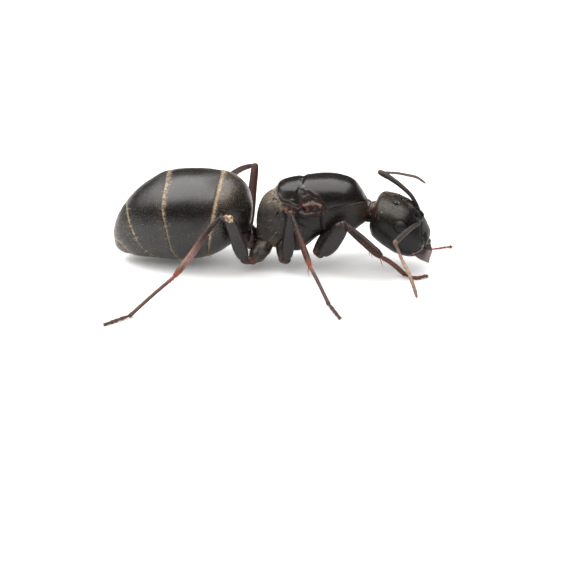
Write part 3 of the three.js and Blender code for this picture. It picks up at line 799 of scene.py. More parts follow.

# %% Where the thorax is glossy, dull, brown or pale, and its painted shade in hollows
back = ease(0, 0.06, in_back)
dome_on = ease(0, 0.05, in_dome)
rear = ease(-0.02, 0.10, in_rear)
collar = ease(-0.02, 0.05, in_collar)
strip = ease(0.0, 0.05, in_strip)
red_patch = spot(1.08, 4.34, 0.16, 0.20)
# a painted orange-brown reflection along the lower edge of the back
reflected_red_band = close_to(SCUTUM_EDGE[2:], 0.10)
middle_wing = ease(0.75, 0.95, x) * fade(1.55, 1.8, x)
orange = wing * np.clip(0.40 * fold * middle_wing * creases * knobs + 0.7 * roots, 0, 1)
orange_rear = hind_wing * np.clip(0.7 * roots + 0.30 * creases * knobs, 0, 1)
neck = ease(3.75, 4.25, x)
foot_of_rear = rear * fade(1.5, 2.1, z)
crown_of_rear = rear * ease(3.55, 3.95, z)
dark_patch = spot(-1.25, 3.15, 0.30, 0.35)
# seam_glow is a painted orange-brown reflection along the flank's top seam and the collar's seam
seam_glow = close_to([(0.84, 3.24), (1.7, 3.38)], 0.05) + close_to([(2.1, 3.72), (3.2, 3.93)], 0.035)
bracket = close_to([(1.80, 3.66), (1.88, 3.50)], 0.035)
fold_edge = close_to(FOLD_CREST, 0.03) * creases
corner = close_to([(0.62, -0.62, None), (0.80, 4.80)], 0.07)
flap = close_to([(0.23, 3.93), (0.50, 3.86)], 0.04)
membrane = spot(-0.14, 3.62, 0.09, 0.07)
mottling = 0.5 + 0.5 * uneven(near, 0.45, 5)
# hollows is painted shade: in seams, pits, the spiracle and the low folds of the wing field
hollows = (0.75 * dark + 0.9 * pit + 0.9 * notch_pit + np.exp(-breath ** 4)
           + wing * fade(0.1, 0.5, raised))
mark(thorax, matt=rear + 0.15 * collar + 0.35 * (1 - back - dome_on) + 0.15 * dome_on * (z < DOME_FACE),
     bloom=(rear * (0.20 + 0.60 * mottling) * (1 - 0.7 * dark_patch)
            + 0.08 * collar * ease(2.2, 4.0, x) + 0.6 * strip),
     gold=(0.35 * crown_of_rear + 0.35 * foot_of_rear * ease(-1.6, -1.2, x)
           + 0.12 * collar * ease(2.6, 4.2, x) * ease(2.6, 3.5, z)),
     warm=(red_patch + 0.6 * reflected_red_band + 0.75 * wing + 0.7 * hind_wing + 0.7 * neck * (z < 3.5)
           + 0.5 * seam_glow),
     amber=orange + 0.9 * orange_rear + 0.8 * membrane,
     pale=(0.35 * dome_lip * fade(4.2, 4.5, z) + 0.5 * flap + 0.3 * strip * mottling
           + 0.4 * bracket + 0.55 * wing * fold_edge + 0.4 * corner + 0.5 * membrane * knobs),
     pit=np.clip(hollows, 0, 1) * (1 - 0.8 * corner))
make_piece("thorax", thorax, back_shell,
           ("pronotum", "mesoscutum", "scutellum", "mesopleuron", "propodeum"))

# %% [markdown]
# ## The gaster
# The gaster is the great hind barrel, full of eggs and muscle. Five rings of shell slide into one
# another like a telescope, and the rear rim of each is thin, golden and a little feathery with
# hair. Each ring is its own shell here: its front dives under the ring before it and its rim
# turns in with a real thickness, so the steps catch light from every side.

# %% The gaster's rings
GASTER = [      # place along X, height, radius and how many degrees the ring leans
    [-2.20, 2.00, 0.00, 24], [-2.31, 2.40, 0.90, 20], [-2.58, 2.74, 1.48, 14], [-2.98, 2.88, 1.85, 10],
    [-3.42, 2.86, 2.13, 9], [-3.92, 2.81, 2.30, 8], [-4.60, 2.78, 2.41, 4.5], [-5.25, 2.76, 2.44, 1],
    [-5.80, 2.71, 2.43, -4], [-6.32, 2.61, 2.37, -10], [-7.32, 2.24, 2.05, -18], [-8.04, 1.74, 1.62, -30],
    [-8.66, 1.24, 1.13, -37], [-8.98, 0.88, 0.74, -44], [-9.26, 0.60, 0.00, -46],
]
RINGS = [0.12, 5, 9, 11, 12.6, 13.88]      # where each ring ends, counted in the rows above
BOW = {        # how far a rim bows back, in rows, at heights from -1 (belly) to 1 (back)
    0: [(-1, 0), (1, 0)],
    1: [(-1, 0.10), (0, 0.18), (0.6, 0.12), (1, 0.02)],
    2: [(-1, -0.65), (-0.85, -0.42), (-0.55, 0.06), (-0.1, 0.02), (0.45, 0.12), (0.85, -0.12), (1, -0.25)],
    3: [(-1, -0.9), (-0.85, -0.55), (-0.6, -0.2), (-0.2, 0.0), (0.3, -0.04), (1, -0.18)],
    4: [(-1, 0.4), (-0.86, -0.05), (-0.2, -0.27), (0.28, -0.17), (0.69, 0.2), (1, 0.3)],
    5: [(-1, 0), (1, 0)],
}
UNDERLAP = 0.22        # how far a ring reaches under the one before it, in rows
TAIL_POLE = 13.97      # where the last ring closes
GASTER_SIDES = 260
RING_STEPS = (70, 66, 50, 36, 20)
knot = np.arange(len(GASTER))
ring_x, ring_z, ring_radius, ring_lean = np.array(GASTER, float).T
gaster_curves = [smooth(knot, column) for column in (ring_x, ring_z, ring_radius ** 2, ring_lean)]


def on_gaster(t, angle, out=0.0):
    """Points of the gaster at rows t and angles round it, raised by out."""
    x, z, square, lean = [curve(t) for curve in gaster_curves]
    radius = np.sqrt(np.maximum(square, 0)) + out
    tilt = np.radians(lean)
    up = radius * np.sin(angle)
    return np.stack([x + up * np.sin(tilt), -radius * np.cos(angle), z + up * np.cos(tilt)], -1)


RIM_WIDE = (0, 0.15, 0.18, 0.08, 0.06, 0.05)       # of each ring's pale rim, high on the flank
RIM_SOLID = (0, 0.85, 0.25, 0.06, 0.20, 0)         # how solid its colour is, the rest is dots
RIM_FADES = ((0, 1), (-0.7, 0.1), (0.0, 0.7), (-0.5, 0.5), (-0.6, 0.4), (0, 1))     # heights of fading


def gaster_ring(number, count):
    """One ring of the gaster, from under the ring before it to its own turned-in rim."""
    angle = math.tau * np.arange(GASTER_SIDES) / GASTER_SIDES
    height = np.sin(angle)
    first, last = number == 1, number == 5
    start = RINGS[number - 1] + smooth(*zip(*BOW[number - 1]))(height) - (0.0 if first else UNDERLAP)
    end = RINGS[number] + smooth(*zip(*BOW[number]))(height)
    share = np.linspace(0, 1, count)[:, None]
    t = start + (end - start) * share
    bare = on_gaster(t, angle)
    length = np.linalg.norm(np.diff(bare, axis=0), axis=2)
    from_front = np.concatenate([np.zeros((1, GASTER_SIDES)), np.cumsum(length, 0)])
    to_rim = from_front[-1] - from_front
    lift = 0.0 if first else -0.09 * fade(0.05, 0.26, from_front) - 0.05 * last
    lip = 0.0 if last else 0.016 * fade(0.0, 0.2, to_rim) - 0.012 * fade(0.0, 0.02, to_rim)
    sculpt = 0.010 * uneven(bare.reshape(-1, 3), 1.3, number).reshape(t.shape)
    sculpt = sculpt + (0.07 if number == 4 else 0.0) * np.sin(math.pi * share) + 0.02 * (number == 3)
    rings = on_gaster(t, angle, lift + lip + sculpt)
    edge = np.broadcast_to(to_rim, t.shape)
    if not last:
        turned_in = np.stack([on_gaster(end, angle, -0.03), on_gaster(end - 0.2, angle, -0.06)])
        rings = np.concatenate([rings, turned_in])
        edge = np.concatenate([edge, np.zeros((2, GASTER_SIDES))])
        from_front = np.concatenate([from_front, from_front[-1:], from_front[-1:]])
        share = np.concatenate([share, [[1.0], [1.0]]])
    upper = ease(*RIM_FADES[number], height)
    wide = RIM_WIDE[number] * (0.30 + 0.70 * upper)
    place = rings.reshape(-1, 3)
    fray = wide * (1 + 0.25 * uneven(place, 0.22, 20 + number).reshape(edge.shape))
    band = fade(0.6 * fray, fray, edge)
    dice = np.random.RandomState(number)
    flecks = np.repeat(dice.uniform(size=(len(rings) // 3 + 1, GASTER_SIDES)), 3, axis=0)[:len(rings)]
    flecks = ease(0.3, 0.8, flecks)
    solid = RIM_SOLID[number] * band * (0.30 + 0.70 * upper) * (0.6 + 0.4 * flecks)
    spread = fade(0.4 * fray, 2.0 * fray, edge) * (0.25 + 0.75 * upper)
    dots = np.clip((0.9 - 0.6 * RIM_SOLID[number]) * spread * flecks, 0, 1) * (not last)
    patches = ease(-0.5, 0.4, uneven(place, 0.8, 60 + number).reshape(edge.shape))
    # bald patches on top of the middle rings: fewer hairs, a rougher shell and a near-black painted dark
    # reflection
    bald = ease(0.62, 0.92, height) * ease(0.05, 0.2, from_front) * fade(0.35, 1.3, from_front)
    bald = bald * (0.0 if first or last else 1.0) * (0.5 + 0.5 * patches)
    around = np.broadcast_to(angle / math.tau, edge.shape)
    along = np.broadcast_to((number - 1 + share) / 5, edge.shape)
    glow = fade(0, 3.0 * wide, edge) * 0.4 + 0.25 * fade(0.2, 0.9, from_front)
    if first:
        shine = hump(height, 0.72, 0.25) * fade(0.3, 1.5, edge)
        glow = glow + shine * (0.5 + 0.5 * patches)
    marks = {"along": along, "around": around, "rim": solid, "dots": dots, "edge": edge,
             "warm": np.clip(glow, 0, 1), "bald": bald, "matt": bald}
    poles = [[float(gaster_curves[0](t)), 0, float(gaster_curves[1](t))] for t in (RINGS[0], TAIL_POLE)]
    return skin_over(rings, poles[0] if first else None, poles[1] if last else None, marks)


gaster_shapes = []
for number, count in enumerate(RING_STEPS, start=1):
    ring = gaster_ring(number, count)
    gaster_shapes.append(ring)
    make_piece(f"gaster_ring_{number}", ring, gaster_shell, (f"gaster_{number}",))

# %% [markdown]
# ## The waist
# A single upright scale on a short stalk joins the two halves of the body, the mark of this
# family of ants. Its shell is thin enough to glow red-brown at the foot. It is swept up along a
# short line and flattened, on one bent stalk that reaches into both halves.

# %% The petiole
scale = sweep([(-1.98, 0, 1.10), (-1.97, 0, 1.45), (-1.99, 0, 1.85), (-2.05, 0, 2.14)],
              [(0, 0.36), (0.35, 0.60), (0.7, 0.56), (1, 0.28)],
              [(0, 0.38), (0.35, 0.34), (0.7, 0.22), (1, 0.06)], sides=48, steps=50, up=(1, 0, 0))
stalk = sweep([(-1.45, 0, 1.62), (-1.75, 0, 1.42), (-2.02, 0, 1.34), (-2.32, 0, 1.46), (-2.54, 0, 1.76)],
              [(0, 0.30), (0.3, 0.34), (0.5, 0.38), (0.8, 0.36), (1, 0.34)], sides=36, steps=40)
waist = joined([scale, stalk])
height = waist["points"][:, 2]
mark(waist, amber=0.5 * fade(1.0, 1.5, height), dusky=0.15 + 0.6 * ease(1.5, 2.1, height))
make_piece("petiole_skin", waist, stalk_shell, ("petiole",))

# %% [markdown]
# ## The head
# Seen from the front a queen's head is a rounded box. Two ridges (frontal carinae) shelter the
# feeler sockets, a shield (clypeus) closes the front, and three simple eyes (ocelli) sit on the
# crown. The shell is finely punctured and nearly matt. It is one skin again, carved along its
# own axes and then turned into her pose, so that left and right stay the same.

# %% The head's own form
HEAD = [        # place along X, top, bottom and half width
    [-0.10, 0.62, 0.62, 0.00], [-0.04, 0.88, 0.22, 0.74], [0.12, 1.00, -0.31, 1.12],
    [0.40, 1.11, -0.89, 1.43], [0.80, 1.24, -1.18, 1.60], [1.57, 1.33, -1.25, 1.68],
    [2.30, 1.10, -1.24, 1.54], [2.90, 0.79, -1.07, 1.28], [3.30, 0.49, -0.83, 1.01],
    [3.48, -0.25, -0.25, 0.00],
]
HEAD_SQUARE = 2.5
HEAD_RINGS = 230
HEAD_SIDES = 240
EYE_SIZE = np.array([0.33, 0.23, 0.28])
EYE_TILT = 16.0
MOUTH = [(2.96, -0.62), (3.08, -0.46), (3.20, -0.28), (3.28, -0.05), (3.24, 0.16), (3.03, 0.44)]   # x, z
OCELLI = [(0.80, 0.58, 0.10), (0.80, -0.62, 0.115), (1.10, 0.02, 0.09)]      # x, y, radius
head_form = form_of(HEAD)


def on_face(x, y, out=0.0):
    """The point on the upper side of the head at x and y, along the head's own axes."""
    return on_form(head_form, HEAD_SQUARE, x, y=y, out=out)


def on_cheek(x, z):
    """The point on the right side of the head at x and z."""
    return on_form(head_form, HEAD_SQUARE, x, z=z)


def posed(shape, shift=(0, 0, 0)):
    """A shape along the head's own axes, moved into her pose."""
    return {**shape, "points": in_head(shape["points"] + shift)}


head = shell_of(HEAD, HEAD_RINGS, HEAD_SIDES, HEAD_SQUARE)
skin, out, near = folded(head)
x, y, z = near.T
ridge = [on_face(1.45, -0.12), on_face(1.75, -0.20), on_face(2.10, -0.28), on_face(2.45, -0.30)]
furrow = [on_face(1.46, -0.28), on_face(1.70, -0.38), on_face(2.00, -0.48), on_face(2.30, -0.54)]
socket = on_face(2.36, -0.60)
crease = [on_face(1.2, 0.0), on_face(2.4, 0.0)]
shield_side = [on_face(2.50, -0.30), on_face(2.56, -0.70), on_cheek(2.80, 0.62), on_cheek(3.03, 0.42)]
mouth_edge = [on_cheek(*place) for place in MOUTH[::-1]]
ridge_gap, furrow_gap, crease_gap, shield_gap, mouth_gap = [
    distance_to(near, line) for line in (ridge, furrow, crease, shield_side, mouth_edge)]
raise_by = 0.08 * hump(ridge_gap, 0, 0.09)
raise_by -= 0.16 * hump(furrow_gap, 0, 0.10)
socket_gap = np.linalg.norm(near - socket, axis=1)
raise_by += 0.06 * hump(socket_gap, 0.15, 0.05) - 0.10 * hump(socket_gap, 0, 0.09)
raise_by -= 0.02 * hump(crease_gap, 0, 0.035)
raise_by -= 0.045 * hump(shield_gap, 0, 0.05)
mouth_x, mouth_z = zip(*MOUTH, (2.9, 0.6))
beyond = ease(0.0, 0.10, x - np.interp(z, mouth_z, mouth_x)) * ease(0.5, 0.75, -y)
raise_by += 0.05 * hump(mouth_gap, 0, 0.05) - 0.16 * beyond
across = near - EYE_AT * [1, -1, 1]
tip = math.radians(EYE_TILT)
along_eye = across[:, 0] / EYE_SIZE[0]
up_eye = (across[:, 2] * math.cos(tip) + across[:, 1] * math.sin(tip)) / EYE_SIZE[2]
eye_gap = (np.hypot(along_eye, up_eye) - 1) * 0.35
on_flank = y < -0.9
eye_groove = hump(eye_gap, 0.03, 0.035)
raise_by -= on_flank * (0.05 * eye_groove)
bead_ring = np.zeros(len(skin))
for ox, oy, size in OCELLI:
    eyelet = np.linalg.norm(skin - on_face(ox, oy), axis=1)
    raise_by -= 0.05 * hump(eyelet, 1.15 * size, 0.035)
    bead_ring = np.maximum(bead_ring, hump(eyelet, 1.1 * size, 0.05))
raise_by += 0.008 * uneven(near, 0.8, 12)
head["points"] = in_head(skin + out * raise_by[:, None])
behind_eye = fade(-0.8, 0.2, along_eye)
eye_ring = on_flank * eye_groove * (0.25 + 0.45 * behind_eye)
crown = ease(0.2, 0.9, z) * fade(0.9, 1.9, x)
nape = ease(0.1, 0.6, z) * fade(0.15, 0.7, x)
front = ease(2.3, 2.6, x) * ease(0.2, 0.4, z)
mouth_rim = hump(mouth_gap, 0.1, 0.06) * (x < 3.35)
# The darkest mark is painted shade: in the furrows, the eye's groove, the rings round the ocelli, the
# shield's groove and the sunken rim beyond the mouth, and over the front face.
mark(head, matt=0.25 * fade(0.3, 1.2, x) + front,
     gold=0.18 * crown + 0.3 * ease(2.9, 3.3, x) * (z > 0),
     warm=0.4 * fade(0.05, 0.35, x) * (z < 0.6) + 0.3 * ease(3.0, 3.3, x) * (z > 0.1),
     pale=0.85 * hump(mouth_gap, 0, 0.028) * (x < 3.3) * (z < 0.2) + 0.45 * hump(socket_gap, 0, 0.05),
     pit=(hump(furrow_gap, 0, 0.11) + eye_ring + bead_ring + 0.5 * hump(shield_gap, 0, 0.04) + beyond
          + 0.6 * front))
make_piece("head_skin", head, head_shell, ("head",))

# %% [markdown]
# ## Eyes
# A compound eye is a dome of about a thousand lenses, each 0.025 mm across. They are drawn at
# 0.045 mm in the surface, since the true size would blur away. The simple eyes are clear beads.

# %% Compound eyes and ocelli
left_eye = dome(EYE_SIZE, rows=40, sides=72)
tilt = np.array([[1, 0, 0], [0, math.cos(tip), math.sin(tip)], [0, -math.sin(tip), math.cos(tip)]])
left_eye["points"] = left_eye["points"] @ tilt + EYE_AT
for name, eye in (("left", left_eye), ("right", mirrored(left_eye))):
    make_piece(f"eye_lens_{name}", posed(eye), cornea, (f"eye_{name}",))
beads = []
for ox, oy, size in OCELLI:
    bead = dome((size, size, 0.75 * size), rows=10, sides=18)
    beads.append(posed(bead, on_face(ox, oy, -0.25 * size)))
make_piece("ocelli", joined(beads), glass_lens)

# %% [markdown]
# ## Jaws and mouth
# Each jaw is a three-cornered blade, hinged at the cheek, whose inner edge has five teeth. It is a
# sheet stretched between an upper and a lower edge curve and given a lens-shaped thickness, which
# makes an edge sharp and a middle strong, as in the real jaw. Palps and lip close the mouth.

# %% Jaws
TEETH = 5
JAW_THICK = 0.13
LEFT_JAW_SHIFT = [-0.05, 0, 0.03]       # the left jaw closes a little behind and above the right one


def jaw_blade():
    """The right jaw, along the head's own axes."""
    rows, columns = 44, 60
    u = np.linspace(0, 1, rows)[:, None]
    v = np.linspace(0, 1, columns)[None, :]
    upper = np.array([[3.22, -0.92, -0.16], [3.55, -0.62, -0.05], [3.84, -0.10, -0.16]])
    lower = np.array([[3.04, -1.00, -0.58], [3.52, -0.78, -0.70], [4.05, -0.04, -0.92]])
    edges = []
    for line in (upper, lower):
        edges.append(np.stack([smooth([0, 0.5, 1], line[:, i], free=True)(u[:, 0]) for i in range(3)], 1))
    sheet = edges[0][:, None] * (1 - v[..., None]) + edges[1][:, None] * v[..., None]
    outward = unit(np.array([0.45, -0.85, -0.25]))
    belly = np.sin(math.pi * v) * (0.55 + 0.45 * np.sin(math.pi * u))
    sheet = sheet + (0.15 * belly)[..., None] * outward
    tooth = 0.5 + 0.5 * np.cos(math.tau * TEETH * v)
    reach = ease(0.82, 1.0, u) * (0.07 * tooth + 0.05 * ease(0.75, 1.0, v))
    sheet = sheet + reach[..., None] * unit(np.array([0.75, 0.65, -0.1]))
    rim = np.minimum(np.minimum(v, 1 - v) * 0.9, 1 - u)
    thick = JAW_THICK * np.sqrt(np.clip(rim / 0.28, 0, 1)) * (1 - 0.45 * u)
    front = sheet + thick[..., None] * outward
    rear = sheet - thick[..., None] * outward
    rings = np.concatenate([front, rear[:, ::-1][:, 1:-1]], axis=1)
    # the jaw's dusky mark is painted shade: darkest on its back and along its upper edge, lighter towards its
    # lower edge
    shade = np.broadcast_to(1.0 - 1.3 * v + 0.3 * u, front.shape[:2])
    shade = np.concatenate([shade, np.ones((rows, columns - 2))], axis=1)
    marks = {"dusky": np.clip(0.25 + 0.55 * shade, 0, 1),
             "warm": np.repeat(ease(0.7, 1.0, u), 2 * columns - 2, 1)}
    return skin_over(rings, rings[0].mean(0), rings[-1].mean(0), marks)


blade = jaw_blade()
a, b, c = [blade["points"][blade["quads"][:, i]] for i in range(3)]
if (a * np.cross(b, c)).sum() < 0:          # its faces would point inwards
    blade = {**blade, "quads": blade["quads"][:, ::-1], "triangles": blade["triangles"][:, ::-1]}
for name, shape in (("right", blade), ("left", mirrored(blade))):
    shift = np.array([0, 0, 0] if name == "right" else LEFT_JAW_SHIFT)
    make_piece(f"jaw_{name}", posed(shape, shift), jaw_shell, (f"mandible_{name}",))

# %% Lip and palps
LIP_LINE = [(3.28, -0.36, 0.02), (3.42, -0.18, 0.08), (3.46, 0, 0.10), (3.42, 0.18, 0.08), (3.28, 0.36, 0.02)]
lip = sweep(LIP_LINE, [(0, 0.08), (0.5, 0.13), (1, 0.08)], [(0, 0.10), (0.5, 0.17), (1, 0.10)],
            sides=18, steps=30)
floor_of_mouth = sweep([(2.7, 0, -0.80), (3.1, 0, -0.72), (3.5, 0, -0.50)],
                       [(0, 0.45), (0.6, 0.40), (1, 0.2)], [(0, 0.2), (1, 0.12)], sides=24, steps=20)
PALP_LEFT = [(3.40, 0.36, -0.40), (3.86, 0.46, -0.30), (4.06, 0.50, -0.20), (4.27, 0.52, -0.10),
             (4.31, 0.52, 0.12), (4.42, 0.50, 0.30), (4.52, 0.46, 0.22)]
PALP_RIGHT = [(3.36, -0.20, -0.50), (3.30, -0.26, -0.86), (3.02, -0.30, -1.10), (2.70, -0.30, -1.22)]
PALP_THICK = 0.016
palps = []
for line, joints in ((PALP_LEFT, 5), (PALP_RIGHT, 4)):
    rows = 4 * joints
    girths = []
    for i in range(rows + 1):
        waist = 0.72 if i % 4 == 0 else 1
        girths.append((i / rows, PALP_THICK * (1 - 0.4 * i / rows) * waist))
    palps.append(sweep(line, girths, sides=12, steps=60))
mouth = posed(joined([lip, floor_of_mouth]))
# the lip and the floor of the mouth are painted dark as the shade inside the mouth
mark(mouth, dusky=1)
make_piece("lip", mouth, joint_skin)
palps = posed(joined(palps))
mark(palps, orange=1 - 0.3 * ease(0.3, 0.8, palps["marks"]["along"]))
make_piece("palps", palps, lash_shell)

# %% [markdown]
# ## The neck
# Soft ringed skin joins head and collar, red-brown with a pale fold or two. It is a short sweep
# between the two, with rings raised on it.

# %% Neck
NECK_RINGS = 5
NECK_RELIEF = 0.03
neck_line = [(3.70, 0, 3.18), (4.10, -0.005, 3.30), (4.40, -0.02, 3.27), (4.75, -0.02, 3.10)]
neck = sweep(neck_line, [(0, 0.62), (0.35, 0.50), (0.6, 0.46), (1, 0.48)], sides=40, steps=60)
turn = neck["marks"]["along"] * math.tau * NECK_RINGS
roughened(neck, NECK_RELIEF * np.sin(turn))
spots = uneven(neck["points"], 0.14, 8)
mark(neck, dusky=0.85 + 0.15 * np.sin(turn + 1), pale=0.7 * ease(0.45, 0.8, spots))
roughened(neck, NECK_RELIEF * spots)
make_piece("neck", neck, joint_skin)
throat = sweep([(3.70, 0, 2.96), (4.10, 0, 2.82), (4.42, 0, 2.78), (4.66, 0, 2.86)],
               [(0, 0.50), (0.5, 0.46), (0.9, 0.38), (1, 0.25)], [(0, 0.20), (0.6, 0.17), (1, 0.10)],
               sides=36, steps=30)
mark(throat, matt=0.6)
make_piece("throat_plate", throat, head_shell)

# %% [markdown]
# ## Feelers
# An ant's feeler has an elbow. The long first piece (scape) swings from a ball in the socket, and
# the lash beyond the elbow is a chain of eleven small barrels. Both are sweeps. The chain comes
# from a radius that pinches in at every joint.

# %% Feelers
FEELERS = {
    "right": {"scape": [(6.52, -0.50, 3.02), (6.90, -0.85, 2.95), (6.62, -1.75, 3.00), (6.22, -2.85, 3.02),
                        (5.83, -3.92, 2.94)],
              "lash": [(5.83, -3.92, 2.94), (6.27, -4.50, 2.18), (6.66, -5.15, 1.70), (6.96, -5.95, 1.28),
                       (7.14, -6.60, 1.00)]},
    "left": {"scape": [(6.58, 0.28, 2.96), (6.90, 0.34, 2.98), (6.49, 0.50, 3.86), (5.84, 0.70, 4.43),
                       (5.22, 0.90, 4.80), (4.75, 1.02, 5.02)],
             "lash": [(4.75, 1.02, 5.02), (5.57, 1.80, 4.72), (6.10, 2.40, 4.41), (6.60, 3.12, 4.02),
                      (7.04, 3.92, 3.40)]},
}
SCAPE_THICK = {
    "right": [(0, 0.085), (0.12, 0.085), (0.3, 0.12), (0.8, 0.15), (0.97, 0.15), (1, 0.12)],
    "left": [(0, 0.075), (0.12, 0.075), (0.3, 0.10), (0.8, 0.145), (0.95, 0.17), (1, 0.15)],
}
LASH = {"right": [(0, 0.085), (0.12, 0.085), (0.6, 0.10), (0.9, 0.095), (1, 0.06)],
        "left": [(0, 0.08), (0.12, 0.075), (0.6, 0.085), (0.9, 0.07), (1, 0.04)]}
BARRELS = 11
PINCH = 0.30        # how much narrower a barrel is at its ends
limbs = {}
for name, lines in FEELERS.items():
    far = name == "left"
    scape = sweep(lines["scape"], SCAPE_THICK[name], sides=24, steps=70)
    s = scape["marks"]["along"]
    mark(scape, pale=(0.1 if far else 0.4) * ease(0.955, 1.0, s),
         dusky=0.9 * fade(0.1, 0.7, s) * (0.5 if far else 1.0))
    make_piece(f"scape_skin_{name}", scape, scape_shell, (f"scape_{name}",))
    thick = smooth(*zip(*LASH[name]))
    place = np.linspace(0, 1, BARRELS * 8 + 1)
    barrel = (place * BARRELS) % 1.0
    pinch = 1 - PINCH * np.abs(2 * barrel - 1) ** 6
    lash = sweep(lines["lash"], list(zip(place, thick(place) * pinch)), sides=20, steps=BARRELS * 10)
    s = lash["marks"]["along"]
    joint_mark = np.abs(2 * ((s * BARRELS) % 1.0) - 1) ** 8
    tip_shade = 0.35 + 0.6 * ease(0.5, 1.0, s) if far else 0.6 * ease(0.6, 1.0, s)
    # the pale band round the middle of the near lash is a painted highlight
    mark(lash, dusky=np.maximum(0.5 * joint_mark + tip_shade, 0.7 * fade(0.04, 0.3, s)),
         pale=(0.0 if far else 0.5) * hump(s, 0.42, 0.2))
    make_piece(f"lash_{name}", lash, lash_shell, (f"funiculus_{name}",))
    limbs.update({f"scape_{name}": scape, f"lash_{name}": lash})

# %% [markdown]
# ## Legs
# A leg goes hip (coxa), a small hinge piece (trochanter), thigh (femur), shin (tibia) and a foot
# of five pieces that ends in two claws. Thighs are stout, flattened and black; shins and feet are
# slim and red-brown. Each piece is its own sweep, tucked into the one before it, since that is
# how the real shell tubes meet. Soft pale skin shows at the knee.

# %% The joints and girths of her legs
LEGS = {      # hip, ends of coxa and hinge, knee, ankle, heel and toe
    "right_hind": [
        (-1.12, -0.62, 1.50), (-1.88, -1.20, 0.68), (-2.31, -1.49, 0.75), (-2.87, -3.46, 3.85),
        (-5.56, -5.24, 1.24), (-7.56, -8.24, 0.15), (-8.67, -9.36, 0.10)],
    "right_mid": [
        (-0.16, -0.75, 1.70), (-0.27, -1.13, 0.76), (-0.05, -1.35, 0.78), (0.23, -2.08, 3.74),
        (1.37, -3.95, 1.56), (2.51, -5.75, 0.15), (3.19, -7.43, 0.10)],
    "right_fore": [
        (2.60, -0.62, 2.55), (1.58, -0.98, 1.20), (1.74, -1.19, 1.09), (3.03, -2.14, 3.24),
        (4.98, -2.65, 1.71), (6.22, -1.31, 0.16), (7.31, -1.38, 0.13)],
    "left_hind": [
        (-1.10, 0.62, 1.55), (-1.90, 1.22, 0.98), (-2.42, 1.50, 1.00), (-2.17, 3.30, 4.41),
        (-4.60, 6.00, 2.38), (-6.85, 8.40, 0.15), (-7.90, 9.30, 0.10)],
    "left_mid": [
        (-0.14, 0.75, 1.70), (-0.20, 1.12, 0.80), (-0.02, 1.34, 0.82), (0.50, 2.30, 3.58),
        (1.52, 4.40, 1.60), (2.30, 6.70, 0.15), (2.90, 8.05, 0.10)],
    "left_fore": [
        (2.30, 0.62, 2.55), (1.78, 0.98, 1.20), (1.92, 1.16, 1.10), (3.60, 2.56, 2.52),
        (5.90, 2.30, 1.56), (7.40, 2.40, 0.16), (8.43, 3.05, 0.10)],
}
THIGH = {      # place along and half width, then how deep it is for its width
    "hind": ([(0, 0.17), (0.08, 0.31), (0.30, 0.39), (0.65, 0.34), (0.93, 0.31), (1, 0.26)], 0.78),
    "mid": ([(0, 0.17), (0.08, 0.29), (0.30, 0.34), (0.65, 0.29), (0.93, 0.22), (1, 0.18)], 0.80),
    "fore": ([(0, 0.20), (0.08, 0.36), (0.35, 0.45), (0.65, 0.44), (0.90, 0.37), (1, 0.20)], 0.75),
}
THIGH_BOW = {"right_fore": (0.08, 0, -0.05)}       # how far the middle of a thigh bows out of line
SEEN_ON_EDGE = {"left_hind": 0.69}      # a flat thigh that is turned shows its narrow side
HIP = {"hind": [(0, 0.36), (0.35, 0.47), (0.75, 0.46), (1, 0.28)],
       "mid": [(0, 0.40), (0.35, 0.46), (0.75, 0.38), (1, 0.26)],
       "fore": [(0, 0.40), (0.35, 0.44), (0.75, 0.40), (1, 0.27)]}
SHIN = [(0, 0.13), (0.06, 0.12), (0.16, 0.165), (0.55, 0.205), (0.90, 0.20), (1, 0.15)]
SLENDER = {"hind": 0.86, "mid": 0.80, "fore": 1.15}     # girth of the shins of each pair
SHIN_START = {"right_hind": (-0.41, 0.0, 0.11)}         # a shin is hinged on one side of the thigh's end
SHIN_BOW = {"right_hind": (-0.06, 0.0, 0.09), "left_hind": (-0.04, 0.0, 0.08)}      # in its upper third
TOE_BOW = {"right_fore": np.array([0.0, -0.36, -0.02])}     # how far the toes bow aside
FOOT_STOUT = {"hind": 1.0, "mid": 1.0, "fore": 1.3}     # girth of that piece
FOOT_ARCH = {"right_fore": (0.03, 0, 0.05)}     # how the long first piece of the foot bows
LOW_ARCH = (0, 0, 0.02)
FOOT_DUSKY = {"fore": 0.65, "mid": 0.5, "hind": 0.2}    # how dark the feet are
SLIM_TOES = {"left_fore": 0.6}         # seen from the side, where the toes are thinnest
SPURS = {"hind": ((-0.35, 0.62), (0.25, 0.42)),         # how far each swings inwards, and its length
         "mid": ((-0.35, 0.62), (0.25, 0.42)),
         "fore": ((-0.5, 0.62), (0.35, 0.45))}
SPUR_THICK = 0.035
CLAW_THICK = 0.035
COMB_THICK = 0.036
STRAIGHT = (0, 0, 0)            # no bow or shift
REDDER = {"left_hind": 1.0, "left_mid": 0.3, "right_fore": -0.3, "left_fore": -0.3}      # upper shins
# elsewhere the knee's skin is painted dark as shade in the bend
SKIN_AT_KNEE = {"right_hind": 0.95}     # how pale the knee's soft skin is, elsewhere it hardly shows
ANKLE_PIECES = [(0.0, 0.36), (0.34, 0.60), (0.58, 0.76), (0.74, 1.0)]       # shares of the way to the toe


def between(a, b, share):
    return np.asarray(a) + (np.asarray(b) - np.asarray(a)) * share


def scaled(radii, by):
    """The same places along a limb with radii that are some times as large."""
    return [(place, by * radius) for place, radius in radii]


def spike(root, tip, thick, sag=STRAIGHT):
    """A spur or claw: a thin cone from root to tip, bowed by sag."""
    bow = between(root, tip, 0.5) + sag
    return sweep([root, bow, tip], scaled([(0, 1), (0.5, 0.7), (1, 0.12)], thick), sides=8, steps=10)


print("legs:", len(LEGS))

# %% Hips and thighs


